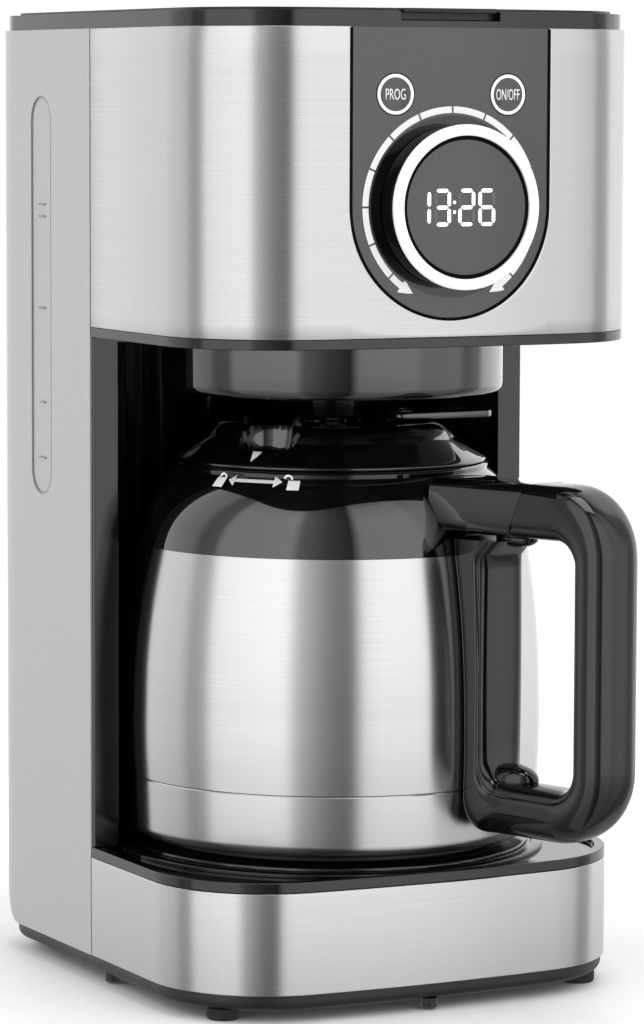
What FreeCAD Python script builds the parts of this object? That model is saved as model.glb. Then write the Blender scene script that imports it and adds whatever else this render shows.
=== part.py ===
import FreeCAD, Part
import Sketcher
import math
import os

# Drip coffee maker with an insulated jug: rear water tank, filter holder under the head, round dial.
# Frame: +Z up, the front faces -Y, +X to the right of someone who stands in front of it.
# The origin lies on the table, under the middle of the whole outline, jug handle included.

V = FreeCAD.Vector
doc = FreeCAD.newDocument("drip_coffee_maker")
sheet = doc.addObject("Spreadsheet::Sheet", "Dims")
pieces = {}


# ---------------------------------------------------------------- sizes
class Size:
    """A length that knows its number and the spreadsheet expression that gives it."""

    def __init__(self, value, text):
        self.value = float(value)
        self.text = text

    def __add__(self, other):
        other = size(other)
        return Size(self.value + other.value, f"({self.text} + {other.text})")

    def __sub__(self, other):
        other = size(other)
        return Size(self.value - other.value, f"({self.text} - {other.text})")

    def __mul__(self, other):
        other = size(other)
        return Size(self.value * other.value, f"({self.text} * {other.text})")

    def __truediv__(self, other):
        other = size(other)
        return Size(self.value / other.value, f"({self.text} / {other.text})")

    def __neg__(self):
        return Size(-self.value, f"(0 - {self.text})")

    def __radd__(self, other):
        return size(other) + self

    def __rsub__(self, other):
        return size(other) - self

    def __rmul__(self, other):
        return size(other) * self

    def root(self):
        return Size(math.sqrt(self.value), f"sqrt({self.text})")


def size(value):
    """Wrap a bare number so that it can be mixed with spreadsheet sizes."""
    return value if isinstance(value, Size) else Size(value, f"{value}")


def dim(alias, value):
    """Add one driving dimension to the spreadsheet, in millimetres or degrees."""
    row = len(dims) + 1
    sheet.set(f"A{row}", alias.replace("_", " "))
    sheet.set(f"B{row}", str(value))
    sheet.setAlias(f"B{row}", alias)
    dims.append(alias)
    return Size(value, f"Dims.{alias}")


dims = []

# plan of the body
half_width = dim("body_half_width", 90.9)
head_front = dim("head_front", -81.55)
base_front = dim("base_front", -73.45)
body_back = dim("body_back", 128.85)
seam = dim("seam_plane", 28.55)
seam_gap = dim("seam_gap", 0.4)
front_corner = dim("front_corner_radius", 45)
rear_corner = dim("rear_corner_radius", 27.4)
head_bow = dim("head_bow_radius", 680)
base_bow = dim("base_bow_radius", 585)

# levels
plate_low = dim("base_plate_low", 4.4)
steel_low = dim("base_steel_low", 10.4)
steel_top = dim("base_steel_top", 47.3)
tray_top = dim("tray_top", 51.2)
tray_floor = dim("tray_floor", 49.4)
rest_top = dim("jug_rest_top", 52.3)
head_low = dim("head_low", 241.1)
head_steel_low = dim("head_steel_low", 244.8)
head_steel_top = dim("head_steel_top", 353.9)
frame_top = dim("top_frame_top", 359.6)
lid_top = dim("lid_top", 360.6)
lid_rear = dim("lid_rear_edge", 110.35)
hinge_y = dim("hinge_axis", 109.05)
hinge_z = dim("hinge_height", 358.6)

# walls and gaps
wall = dim("plastic_wall", 2.2)
skin = dim("steel_skin", 0.8)
gap = dim("gap", 0.3)

# controls
dial_z = dim("dial_height", 290.9)
dial_radius = dim("dial_radius", 29.1)
display_radius = dim("display_radius", 25)
dial_reach = dim("dial_reach", 11.5)
panel_half = dim("panel_half_width", 39.4)
button_x = dim("button_offset", 22.6)
button_z = dim("button_height", 330.4)
button_radius = dim("button_radius", 7.2)
button_travel = dim("button_travel", 0.8)

# jug bay and filter holder
jug_y = dim("jug_axis", 10.65)
niche_radius = dim("niche_radius", 82)
drum_front = dim("filter_holder_front", -8.35)
drum_half = dim("filter_holder_half_width", 67)
drum_corner = dim("filter_holder_corner", 22)
drum_side_end = dim("filter_holder_side_end", 48.65)
drum_back_radius = dim("filter_holder_back_radius", 78)
drum_low = dim("filter_holder_low", 218.6)
drum_top = dim("filter_holder_top", 342)
flange_low = dim("filter_flange_low", 209.4)
flange_top = dim("filter_flange_top", 212)
drip_tip = dim("drip_stop_tip", 208.2)
basket_y = dim("basket_centre", 38.65)

# water side
tank_low = dim("tank_low", 165)
tank_high = dim("tank_high", 345)
tank_front = dim("tank_front", 56.65)
tank_inset = dim("tank_inset", 3.8)
gauge_y = dim("gauge_centre", 73.75)
gauge_half = dim("gauge_half_width", 9.4)
gauge_low = dim("gauge_low", 179.3)
gauge_high = dim("gauge_high", 329.4)
riser_y = dim("riser_centre", 103.65)
outlet_y = dim("tank_outlet", 108.65)
hose_radius = dim("hose_radius", 4.5)
heater_z = dim("heater_height", 24)
heater_bend = dim("heater_bend_radius", 45)
heater_radius = dim("heater_tube_radius", 8)
heater_end = dim("heater_end", 68.65)

# jug
foot_radius = dim("jug_foot_radius", 66)
cup_top = dim("jug_cup_top", 78.9)
cup_radius = dim("jug_cup_radius", 77.9)
belly_z = dim("jug_belly_height", 106.5)
belly_radius = dim("jug_belly_radius", 78.3)
shoulder_z = dim("jug_shoulder_height", 164.1)
shoulder_radius = dim("jug_shoulder_radius", 73.1)
collar_top = dim("jug_collar_top", 194.2)
collar_radius = dim("jug_collar_radius", 57.5)
neck_radius = dim("jug_neck_radius", 50)
handle_angle = dim("handle_angle", -72)
handle_half = dim("handle_half_width", 12)
handle_inner = dim("handle_inner_leg", 88)
grip_inner = dim("grip_inner", 130)
grip_outer = dim("grip_outer", 144)
handle_top = dim("handle_top", 192.5)
handle_low = dim("handle_low", 61)
hole_top = dim("finger_hole_top", 172.5)
hole_low = dim("finger_hole_low", 80.5)
handle_seam = dim("handle_seam", 103)
scoop_angle = dim("lid_scoop_angle", -145)

# places of the small parts under the body, on the left half; the right half mirrors them
foot_front = (dim("front_foot_x", 73.6), dim("front_foot_y", -48.8))
foot_rear = (dim("rear_foot_x", 68), dim("rear_foot_y", 103))
peg_front_y = dim("front_peg_y", -68)
peg_side = (dim("side_peg_x", 84), dim("side_peg_y", 24))
screw_front = (dim("front_screw_x", 62), dim("front_screw_y", -35))
screw_rear = (dim("rear_screw_x", 83.5), dim("rear_screw_y", 70))
gland_x = dim("cable_gland_x", 50)
gland_z = dim("cable_gland_z", 26)


# ---------------------------------------------------------------- helpers
def bind(target, prop, length):
    """Give a property its number, and its expression when a spreadsheet cell drives it."""
    length = size(length)
    if "Dims." in length.text:
        target.setExpression(prop, length.text)
    elif not prop.startswith("Placement."):
        setattr(target, prop, length.value)


def place(target, x=0, y=0, z=0):
    """Put an object's own origin at a point, and keep the way it is turned."""
    spot = V(size(x).value, size(y).value, size(z).value)
    target.Placement = FreeCAD.Placement(spot, target.Placement.Rotation)
    for letter, length in zip("xyz", (x, y, z)):
        bind(target, f"Placement.Base.{letter}", length)
    return target


def box(name, x, y, z):
    """A block between a low and a high value on each axis."""
    made = doc.addObject("Part::Box", name)
    for prop, (low, high) in zip(("Length", "Width", "Height"), (x, y, z)):
        bind(made, prop, size(high) - low)
    return place(made, x[0], y[0], z[0])


TURNS = {
    "x": FreeCAD.Rotation(V(0, 1, 0), 90),
    "y": FreeCAD.Rotation(V(1, 0, 0), -90),
    "z": FreeCAD.Rotation(),
}


def rod(name, radius, axis, low, high, centre):
    """A round bar along one axis, from low to high, about a point given on the other two axes."""
    made = doc.addObject("Part::Cylinder", name)
    bind(made, "Radius", radius)
    bind(made, "Height", size(high) - low)
    made.Placement = FreeCAD.Placement(V(), TURNS[axis])
    spot = list(centre)
    spot.insert("xyz".index(axis), low)
    return place(made, *spot)


def torus(name, ring, tube, centre):
    made = doc.addObject("Part::Torus", name)
    bind(made, "Radius1", ring)
    bind(made, "Radius2", tube)
    return place(made, *centre)


def fuse(name, *shapes):
    made = doc.addObject("Part::MultiFuse", name)
    made.Shapes = list(shapes)
    made.Refine = True
    return made


def cut(name, base, *tools):
    made = doc.addObject("Part::Cut", name)
    made.Base = base
    made.Tool = tools[0] if len(tools) == 1 else fuse(f"{name}_tools", *tools)
    made.Refine = True
    return made


def common(name, *shapes):
    made = doc.addObject("Part::MultiCommon", name)
    made.Shapes = list(shapes)
    made.Refine = True
    return made


def group(name, members):
    """Several separate solids that share one node."""
    made = doc.addObject("Part::Compound", name)
    made.Links = members
    return made


def rounded(name, base, radius, chosen):
    """Round the edges of an object that a test picks by their middle point and direction."""
    doc.recompute()
    made = doc.addObject("Part::Fillet", name)
    made.Base = base
    picked = []
    for number, edge in enumerate(base.Shape.Edges, 1):
        middle = edge.valueAt((edge.FirstParameter + edge.LastParameter) / 2)
        if chosen(edge, middle):
            picked.append((number, radius, radius))
    made.Edges = picked
    return made


def arc_centre(start, end, radius, left):
    """Centre of the short arc between two points, on the left or the right of the way along it."""
    run = end - start
    rise = math.sqrt(max(radius * radius - run.Length * run.Length / 4, 0))
    side = V(-run.y, run.x, 0).normalize() * (rise if left else -rise)
    return start + run / 2 + side


def draw(sketch, path):
    """Draw a closed outline, fully constrained to the spreadsheet.

    The path is a list of (x, y) corners. A corner may add (radius, left): the edge that starts
    there is then an arc, with its centre to the left or to the right of the way along."""
    ends = []
    for index, corner in enumerate(path):
        following = path[(index + 1) % len(path)]
        start = V(size(corner[0]).value, size(corner[1]).value, 0)
        end = V(size(following[0]).value, size(following[1]).value, 0)
        if len(corner) == 2:
            number = sketch.addGeometry(Part.LineSegment(start, end), False)
            ends.append((number, 1, 2))
            continue
        radius, left = corner[2:]
        centre = arc_centre(start, end, size(radius).value, left)
        turns = [math.atan2((p - centre).y, (p - centre).x) for p in (start, end)]
        if not left:
            turns.reverse()
        if turns[1] < turns[0]:
            turns[1] += 2 * math.pi
        circle = Part.Circle(centre, V(0, 0, 1), size(radius).value)
        number = sketch.addGeometry(Part.ArcOfCircle(circle, *turns), False)
        ends.append((number, 1, 2) if left else (number, 2, 1))
    for index, corner in enumerate(path):
        number, first, last = ends[index]
        after, after_first, _ = ends[(index + 1) % len(path)]
        limit(sketch, "Coincident", (number, last, after, after_first))
        for kind, length in zip(("DistanceX", "DistanceY"), corner[:2]):
            limit(sketch, kind, (-1, 1, number, first), length)
        if len(corner) > 2:
            limit(sketch, "Radius", (number,), corner[2])


def limit(sketch, kind, places, length=None):
    """Add one sketch constraint, driven by the spreadsheet where its length is."""
    if length is None:
        sketch.addConstraint(Sketcher.Constraint(kind, *places))
        return
    length = size(length)
    number = sketch.addConstraint(Sketcher.Constraint(kind, *places, length.value))
    if "Dims." in length.text:
        sketch.setExpression(f"Constraints[{number}]", length.text)


def sketch_on(body, role, path):
    made = body.newObject("Sketcher::SketchObject", f"{body.Name}_outline")
    plane = [f for f in body.Origin.OriginFeatures if f.Role == role]
    made.AttachmentSupport = [(plane[0], "")]
    made.MapMode = "FlatFace"
    draw(made, path)
    return made


def prism(name, path, low, high):
    """An outline in plan, raised from one level to another."""
    body = doc.addObject("PartDesign::Body", name)
    outline = sketch_on(body, "XY_Plane", path)
    pad = body.newObject("PartDesign::Pad", f"{name}_pad")
    pad.Profile = (outline, [""])
    bind(pad, "Length", size(high) - low)
    return place(body, 0, 0, low)


def turned(name, path, x=0, y=0):
    """A profile of radius and height, turned about an upright axis."""
    body = doc.addObject("PartDesign::Body", name)
    outline = sketch_on(body, "XZ_Plane", path)
    spin = body.newObject("PartDesign::Revolution", f"{name}_turn")
    spin.Profile = (outline, [""])
    spin.ReferenceAxis = (outline, ["V_Axis"])
    spin.Angle = 360
    return place(body, x, y, 0)


def turned_forward(name, path, z):
    """A profile of radius and reach, turned about an axis that points at the user (-Y)."""
    made = turned(name, path)
    made.Placement = FreeCAD.Placement(V(), FreeCAD.Rotation(V(1, 0, 0), 90))
    return place(made, 0, 0, z)


def both_sides(spot):
    """A place on the left and its mirror image on the right."""
    return [(-spot[0], spot[1]), spot]


def piece(name, made):
    """Name a finished sub-part."""
    made.Label = name
    pieces[name] = made
    return made


# ---------------------------------------------------------------- outlines
def front_corners(front, bow, inset):
    """Corner points of the bowed front with its two rounded corners, right to left."""
    half = half_width - inset
    corner = front_corner - inset
    big = bow - inset
    middle = front + inset + big
    centre_y = middle - ((big - corner) * (big - corner) - (half - corner) * (half - corner)).root()
    ratio = big / (big - corner)
    join_x = (half - corner) * ratio
    join_y = middle + (centre_y - middle) * ratio
    return half, corner, big, centre_y, join_x, join_y


def front_path(front, bow, inset, end, reverse=False):
    """The front half of the plan, from one side's end at the seam round to the other's."""
    half, corner, big, centre_y, join_x, join_y = front_corners(front, bow, inset)
    if reverse:
        return [
            (-half, end),
            (-half, centre_y, corner, True),
            (-join_x, join_y, big, True),
            (join_x, join_y, corner, True),
            (half, centre_y),
            (half, end),
        ]
    return [
        (half, end),
        (half, centre_y, corner, False),
        (join_x, join_y, big, False),
        (-join_x, join_y, corner, False),
        (-half, centre_y),
        (-half, end),
    ]


def rear_path(inset, end, reverse=False):
    """The rear half of the plan, from the left end round the back to the right end."""
    half = half_width - inset
    corner = rear_corner - inset
    back = body_back - inset
    if reverse:
        return [
            (half, end),
            (half, back - corner, corner, True),
            (half - corner, back),
            (-(half - corner), back, corner, True),
            (-half, back - corner),
            (-half, end),
        ]
    return [
        (-half, end),
        (-half, back - corner, corner, False),
        (-(half - corner), back),
        (half - corner, back, corner, False),
        (half, back - corner),
        (half, end),
    ]


def whole_path(front, bow, inset):
    """The whole plan of the body: bowed front, round corners, flat back."""
    return front_path(front, bow, inset, seam, reverse=True) + rear_path(inset, seam, reverse=True)[1:-1]


def front_band(name, front, bow, outer, inner, low, high):
    """A wall that follows the front half of the plan between two insets."""
    end = seam - seam_gap
    path = front_path(front, bow, outer, end) + front_path(front, bow, inner, end, reverse=True)
    return prism(name, path, low, high)


def front_slab(name, front, bow, inset, end, low, high):
    """The filled front half of the plan."""
    return prism(name, front_path(front, bow, inset, end), low, high)


def drum_path(inset):
    """Plan of the filter holder: flat front, two round corners, back in one big arc."""
    half = drum_half - inset
    corner = drum_corner - inset
    front = drum_front + inset
    radius = drum_back_radius - inset
    return [
        (-half, drum_side_end),
        (-half, front + corner, corner, True),
        (-(half - corner), front),
        (half - corner, front, corner, True),
        (half, front + corner),
        (half, drum_side_end, radius, True),
        (0, back_of_drum(inset), radius, True),
    ]


def back_of_drum(inset):
    """Rearmost point of the filter holder's arc."""
    half = drum_half - inset
    radius = drum_back_radius - inset
    return drum_side_end - (radius * radius - half * half).root() + radius


def pipe_solid(points, bend, radius, bore):
    """A tube along straight runs with a round bend at each corner."""
    edges = []
    start = points[0]
    for before, corner, after in zip(points, points[1:], points[2:]):
        first = (before - corner).normalize()
        second = (after - corner).normalize()
        reach = bend / math.tan(first.getAngle(second) / 2)
        centre = corner + (first + second).normalize() * math.hypot(bend, reach)
        middle = centre + (corner - centre).normalize() * bend
        edges.append(Part.LineSegment(start, corner + first * reach).toShape())
        start = corner + second * reach
        edges.append(Part.Arc(corner + first * reach, middle, start).toShape())
    edges.append(Part.LineSegment(start, points[-1]).toShape())
    spine = Part.Wire(edges)
    solids = []
    for size_now in (radius, bore):
        ring = Part.Wire(Part.Circle(points[0], points[1] - points[0], size_now).toShape())
        solids.append(spine.makePipeShell([ring], True, True))
    return solids[0].cut(solids[1])


def feature(name, shape):
    made = doc.addObject("Part::Feature", name)
    made.Shape = shape
    return made


# ---------------------------------------------------------------- rear of the body
def make_rear_housing():
    """Silver plastic shell: both sides and the back, with the slot for the water gauge."""
    end = seam + seam_gap
    path = rear_path(0, end) + rear_path(wall, end, reverse=True)
    shell = prism("rear_shell", path, steel_low, head_steel_top)
    slot = gauge_slot("gauge_slot", 0, -half_width - 1, -half_width + wall + 1)
    hole = rod("gland_hole", 5.2, "y", body_back - wall - 1, body_back + 1, (gland_x, gland_z))
    ends = both_sides(screw_rear)
    posts = [rod(f"rear_post{n}", 5.4, "z", steel_low + 2, 40, spot) for n, spot in enumerate(ends)]
    bores = [rod(f"rear_bore{n}", 1.4, "z", steel_low, 24, spot) for n, spot in enumerate(ends)]
    blank = fuse("rear_shell_fuse", shell, *posts)
    piece("rear_housing", cut("rear_housing_cut", blank, slot, hole, *bores))


def gauge_slot(name, inset, low, high):
    """An upright slot with round ends, through the left side."""
    half = gauge_half - inset
    ends = [gauge_low + gauge_half, gauge_high - gauge_half]
    middle = box(f"{name}_middle", (low, high), (gauge_y - half, gauge_y + half), ends)
    rounds = [rod(f"{name}_end{n}", half, "x", low, high, (gauge_y, z)) for n, z in enumerate(ends)]
    return fuse(name, middle, *rounds)


def make_gauge():
    """Clear window: a raised slot-shaped pane on a flange that sits behind the shell."""
    pane = gauge_slot("gauge_pane", gap, -half_width + 0.5, -half_width + wall)
    flange = box(
        "gauge_flange",
        (-half_width + wall, -half_width + wall + 1.2),
        (gauge_y - gauge_half - 3, gauge_y + gauge_half + 3),
        (gauge_low - 3, gauge_high + 3),
    )
    piece("water_gauge_window", fuse("gauge_window_fuse", pane, flange))


def make_bay_liner():
    """Black lining of the jug bay: a round niche, a narrow front strip each side and a ceiling."""
    outer = niche_radius + wall
    front = seam - 1.9
    rear = seam + gap
    strip = half_width - 0.6
    near = (niche_radius * niche_radius - (front - jug_y) * (front - jug_y)).root()
    far = (outer * outer - (rear - jug_y) * (rear - jug_y)).root()
    path = [
        (-strip, front),
        (-near, front, niche_radius, False),
        (0, jug_y + niche_radius, niche_radius, False),
        (near, front),
        (strip, front),
        (strip, rear),
        (far, rear, outer, True),
        (0, jug_y + outer, outer, True),
        (-far, rear),
        (-strip, rear),
    ]
    niche = prism("niche_wall", path, tray_top, head_low)
    slab = rod("ceiling_disc", niche_radius + 1, "z", head_low - wall, head_low, (0, jug_y))
    rear_half = box(
        "ceiling_limit", (-half_width, half_width), (front, body_back), (head_low - wall, head_low)
    )
    hole = prism("ceiling_hole", drum_path(-0.6), head_low - wall - 1, head_low + 1)
    ceiling = cut("ceiling", common("ceiling_plate", slab, rear_half), hole)
    piece("bay_liner", fuse("bay_liner_fuse", niche, ceiling))


def make_water_tank():
    """Open-topped tank across the back, wrapped round the niche, with a channel for the riser."""

    def body(name, extra, low, high):
        blank = prism(f"{name}_blank", rear_path(tank_inset + extra, tank_front + extra), low, high)
        niche = rod(f"{name}_niche", niche_radius + 4.3 + extra, "z", low - 1, high + 1, (0, jug_y))
        side = 11 + extra
        depth = (tank_front, riser_y + 8 + extra)
        channel = box(f"{name}_channel", (-side, side), depth, (low - 1, high + 1))
        return cut(name, blank, niche, channel)

    outer = body("tank_outer", 0, tank_low, tank_high)
    inner = body("tank_inner", 2, tank_low + 2.5, tank_high + 1)
    spot = (-heater_bend, outlet_y)
    outlet = rod("tank_outlet_hole", hose_radius, "z", tank_low - 1, tank_low + 4, spot)
    piece("water_tank", cut("water_tank_cut", outer, inner, outlet))
    seal = rod("tank_seal_disc", hose_radius + 4, "z", tank_low - 4, tank_low, spot)
    bore = rod("tank_seal_bore", hose_radius + 0.2, "z", tank_low - 5, tank_low + 1, spot)
    piece("tank_outlet_seal", cut("tank_seal_cut", seal, bore))


def make_cable_gland():
    """Bush in the back through which the mains lead enters; the lead itself is not part of this."""
    sleeve = rod("gland_sleeve", 5, "y", body_back - 9, body_back, (gland_x, gland_z))
    collar = rod("gland_collar", 8, "y", body_back - 6.5, body_back - wall, (gland_x, gland_z))
    bore = rod("gland_bore", 3.4, "y", body_back - 10, body_back + 1, (gland_x, gland_z))
    piece("cable_gland", cut("gland_cut", fuse("gland_blank", sleeve, collar), bore))


# ---------------------------------------------------------------- head
def arch(name, half, low_radius, low, high):
    """The control panel's outline as a block: straight sides, half-round bottom, cut along Y."""
    block = box(f"{name}_block", (-half, half), (low, high), (dial_z, head_steel_top + 2))
    disc = rod(f"{name}_round", low_radius, "y", low, high, (0, dial_z))
    return fuse(name, block, disc)


def make_head():
    """Steel band round the head, the black frame behind it and the flush control panel."""
    band = front_band("head_band", head_front, head_bow, 0, skin, head_steel_low, head_steel_top)
    window = arch("band_window", panel_half + 0.3, panel_half + 0.3, head_front - 5, head_front + 12)
    piece("head_steel_band", cut("head_band_cut", band, window))

    inner = skin + 0.1
    wall_band = front_band(
        "head_wall", head_front, head_bow, inner, inner + wall, head_steel_low - 1, head_steel_top
    )
    end = seam - seam_gap
    lip = front_slab("head_lip", head_front, head_bow, 0, end, head_low, head_steel_low - 0.1)
    well = prism("head_well", drum_path(-0.4), head_low - 1, head_steel_low + 1)
    room = arch("frame_window", panel_half + 0.2, panel_half + 0.2, head_front - 5, head_front + 12)
    floor = cut("head_floor", lip, well)
    walls = cut("head_walls", wall_band, room)
    piece("head_frame", fuse("head_frame_fuse", floor, walls))

    sheet_band = front_band("panel_band", head_front, head_bow, 0.2, 3.4, dial_z - 60, head_steel_top)
    face = arch("panel_face", panel_half, panel_half, head_front - 5, head_front + 12)
    deep = (head_front - 5, head_front + 12)
    holes = [
        rod(f"panel_button_hole{n}", button_radius + 0.35, "y", *deep, (x, button_z))
        for n, x in enumerate((-button_x, button_x))
    ]
    centre = rod("panel_centre_hole", 20.2, "y", head_front - 5, head_front + 12, (0, dial_z))
    blank = common("panel_blank", sheet_band, face)
    piece("control_panel", cut("panel_cut", blank, *holes, centre))


def make_top():
    """Black top ring with its finger notch, the hinged lid and the two hinge pins."""
    blank = prism("top_blank", whole_path(head_front, head_bow, 1.5), head_steel_top, frame_top)
    seat = head_steel_top + 2.3
    above = frame_top + 1
    recess = front_slab("lid_recess", head_front, head_bow, 5, seam, seat, above)
    rear_recess = box("lid_recess_rear_limit", (-100, 100), (seam - 1, lid_rear + 1.9), (seat, above))
    rear = prism("lid_recess_rear", rear_path(5, seam - 1), seat, above)
    through = front_slab("top_through", head_front, head_bow, 10, seam, head_steel_top - 1, frame_top)
    rear_limit = box(
        "top_through_limit", (-100, 100), (seam - 1, lid_rear + 1.9), (head_steel_top - 1, frame_top)
    )
    rear_through = prism("top_through_rear", rear_path(10, seam - 1), head_steel_top - 1, frame_top)
    hinge_room = box(
        "hinge_room", (-76, 76), (lid_rear - 6, lid_rear + 1.9), (head_steel_top - 1, frame_top + 1)
    )
    notch = box("finger_notch", (-20, 20), (head_front - 1, head_front + 12), (seat, above))
    holes = [
        rod(f"pin_hole{n}", 1.2, "x", low, low + 13, (hinge_y, hinge_z)) for n, low in enumerate((-87, 74))
    ]
    ring = cut(
        "top_ring",
        blank,
        recess,
        common("lid_recess_back", rear, rear_recess),
        through,
        common("top_through_back", rear_through, rear_limit),
        hinge_room,
        notch,
        *holes,
    )
    piece("top_frame", ring)

    plate_low_z = head_steel_top + 2.6
    lid_front = front_slab("lid_front", head_front, head_bow, 5.3, seam, plate_low_z, lid_top)
    lid_side = 83.3
    lid_back = common(
        "lid_back",
        prism("lid_back_blank", rear_path(5.3, seam - 1), plate_low_z, lid_top),
        fuse(
            "lid_back_limit",
            box("lid_wide_part", (-100, 100), (seam - 1, hinge_y - 5), (plate_low_z, lid_top)),
            box("lid_hinge_part", (-lid_side, lid_side), (hinge_y - 6, hinge_y), (plate_low_z, lid_top)),
            box("lid_tail", (-lid_side, lid_side), (hinge_y - 1, lid_rear), (hinge_z - 1.4, lid_top)),
        ),
    )
    tab = box("lid_tab", (-18.5, 18.5), (head_front + 2.2, head_front + 9), (lid_top - 1.6, lid_top))
    plate = fuse("lid_plate", lid_front, lid_back, tab)
    deep = (plate_low_z - 1, lid_top - 2)
    hollow_front = front_slab("lid_hollow_front", head_front, head_bow, 12, seam, *deep)
    hollow_back = box("lid_hollow_back", (-76, 76), (seam - 1, 96), deep)
    bores = [
        rod(f"lid_bore{n}", 1.25, "x", low, low + 14, (hinge_y, hinge_z)) for n, low in enumerate((-87, 73))
    ]
    piece("lid", cut("lid_cut", plate, fuse("lid_hollow", hollow_front, hollow_back), *bores))

    line = (hinge_y, hinge_z)
    pins = [rod(f"hinge_pin{n}", 1.2, "x", low, low + 11, line) for n, low in enumerate((-87, 76))]
    piece("hinge_pins", group("hinge_pin_group", pins))


def make_dial():
    """Turning ring round a fixed clock display."""
    face = -head_front
    reach = face + dial_reach
    ring = [
        (display_radius + 0.2, face + gap),
        (dial_radius - 0.6, face + gap),
        (dial_radius - 0.2, reach - 2),
        (display_radius + 0.2, reach - 2),
    ]
    piece("dial_ring", turned_forward("dial_ring_body", ring, dial_z))
    trim = [
        (display_radius + 0.2, reach - 2),
        (dial_radius, reach - 2),
        (dial_radius, reach - 0.7),
        (dial_radius - 0.9, reach),
        (display_radius + 0.9, reach),
        (display_radius + 0.2, reach - 0.6),
    ]
    piece("dial_trim_ring", turned_forward("dial_trim_body", trim, dial_z))
    post = [
        (0, face - 5),
        (20, face - 5),
        (20, face + gap),
        (display_radius, face + gap),
        (display_radius, reach - 2.6),
        (0, reach - 2.6),
    ]
    piece("display_housing", turned_forward("display_housing_body", post, dial_z))
    window = [
        (0, reach - 2.6),
        (display_radius, reach - 2.6),
        (display_radius, reach - 1.2),
        (0, reach - 1.2),
    ]
    piece("display_window", turned_forward("display_window_body", window, dial_z))


def make_buttons():
    """Two push buttons set flush in the panel, their switches and the circuit board."""
    front = head_front + 0.2
    bowed = front_slab("button_bow", head_front, head_bow, 0.2, seam, dial_z, head_steel_top)
    for name, x in (("prog_button", -button_x), ("power_button", button_x)):
        cap = rod(f"{name}_cap", button_radius, "y", head_front - 5, head_front + 5, (x, button_z))
        face = common(f"{name}_face", cap, bowed)
        skirt = rod(f"{name}_skirt", button_radius + 1.2, "y", front + 4.2, front + 5.6, (x, button_z))
        stem = rod(f"{name}_stem", 2, "y", front + 5.6, front + 7, (x, button_z))
        piece(name, fuse(f"{name}_fuse", face, skirt, stem))
    switches = [
        box(
            f"switch{n}",
            (x - 3, x + 3),
            (front + 7 + button_travel, front + 11),
            (button_z - 3, button_z + 3),
        )
        for n, x in enumerate((-button_x, button_x))
    ]
    piece("button_switches", group("switch_group", switches))
    board = box("board_blank", (-34, 34), (front + 11, front + 12.6), (262, 344))
    piece("control_board", board)
    link = box("display_link_block", (-8, 8), (head_front + 5, front + 11), (dial_z - 6, dial_z + 6))
    piece("display_connector", link)


# ---------------------------------------------------------------- filter side
def make_filter_housing():
    """Black filter holder: a deep cup through the head, a neck and a flange over the jug."""
    outer = prism("drum_outer", drum_path(0), drum_low, drum_top)
    soft = rounded("drum_soft", outer, 4, lambda edge, middle: middle.z < drum_low.value + 0.1)
    inner = prism("drum_inner", drum_path(wall), drum_low + wall + 2, drum_top + 1)
    neck = prism("drum_neck", drum_path(10), flange_top, drum_low + 1)
    flange = prism("drum_flange", drum_path(0.5), flange_low, flange_top)
    bore = rod("valve_bore", 3.4, "z", flange_low - 1, drum_low + wall + 3, (0, jug_y))
    made = cut("filter_housing_cut", fuse("drum_fuse", soft, neck, flange), inner, bore)
    piece("filter_housing", made)


def funnel(name, top_radius, low_radius, high, low, shift):
    """A leaning cone: a wide round top and a small outlet nearer the front."""
    circles = []
    for tag, radius, y, z in (
        ("top", top_radius, basket_y, high),
        ("low", low_radius, basket_y - shift, low),
    ):
        ring = doc.addObject("Part::Circle", f"{name}_{tag}")
        bind(ring, "Radius", radius)
        circles.append(place(ring, 0, y, z))
    made = doc.addObject("Part::Loft", name)
    made.Sections = circles
    made.Solid = True
    made.Ruled = True
    return made


def make_filter_basket():
    """Lift-out basket for the paper filter, with a rim and a drain hole over the drip stop."""
    outer = funnel("basket_outer", 42, 16, 334, 233, 24)
    inner = funnel("basket_inner", 40.2, 14.2, 334.1, 235.5, 24)
    rim = rod("basket_rim_disc", 44, "z", 331.5, 334, (0, basket_y))
    hole = rod("basket_drain", 5, "z", 230, 240, (0, basket_y - 25))
    grips = [
        box(f"basket_grip{n}", (low, low + 14), (basket_y - 8, basket_y + 8), (331.5, 334))
        for n, low in enumerate((-57, 43))
    ]
    made = cut("basket_cut", fuse("basket_fuse", outer, rim, *grips), inner, hole)
    piece("filter_basket", made)


def make_drip_stop():
    """Spring-loaded valve that the jug's lid lifts: plunger, seal and spring."""
    floor = drum_low + wall + 2
    profile = [
        (0, drip_tip),
        (2, drip_tip),
        (3, drip_tip + 1),
        (3, floor + 1.3),
        (7, floor + 1.3),
        (7, floor + 2.5),
        (0, floor + 2.5),
    ]
    piece("drip_stop_plunger", turned("plunger_body", profile, 0, jug_y))
    seal = [
        (3.05, floor + 0.3),
        (6.5, floor + 0.3),
        (6.5, floor + 1.3),
        (3.05, floor + 1.3),
    ]
    piece("drip_stop_seal", turned("seal_body", seal, 0, jug_y))
    low = floor.value + 2.8 + 0.4
    helix = Part.makeHelix(1.6, 5.6, 5.2)
    start = V(5.2, 0, 0)
    wire = Part.Wire(Part.Circle(start, V(0, 1, 0), 0.4).toShape())
    coil = Part.Wire(helix).makePipeShell([wire], True, True)
    spring = feature("spring_coil", coil)
    piece("drip_stop_spring", place(spring, 0, jug_y, low))


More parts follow.
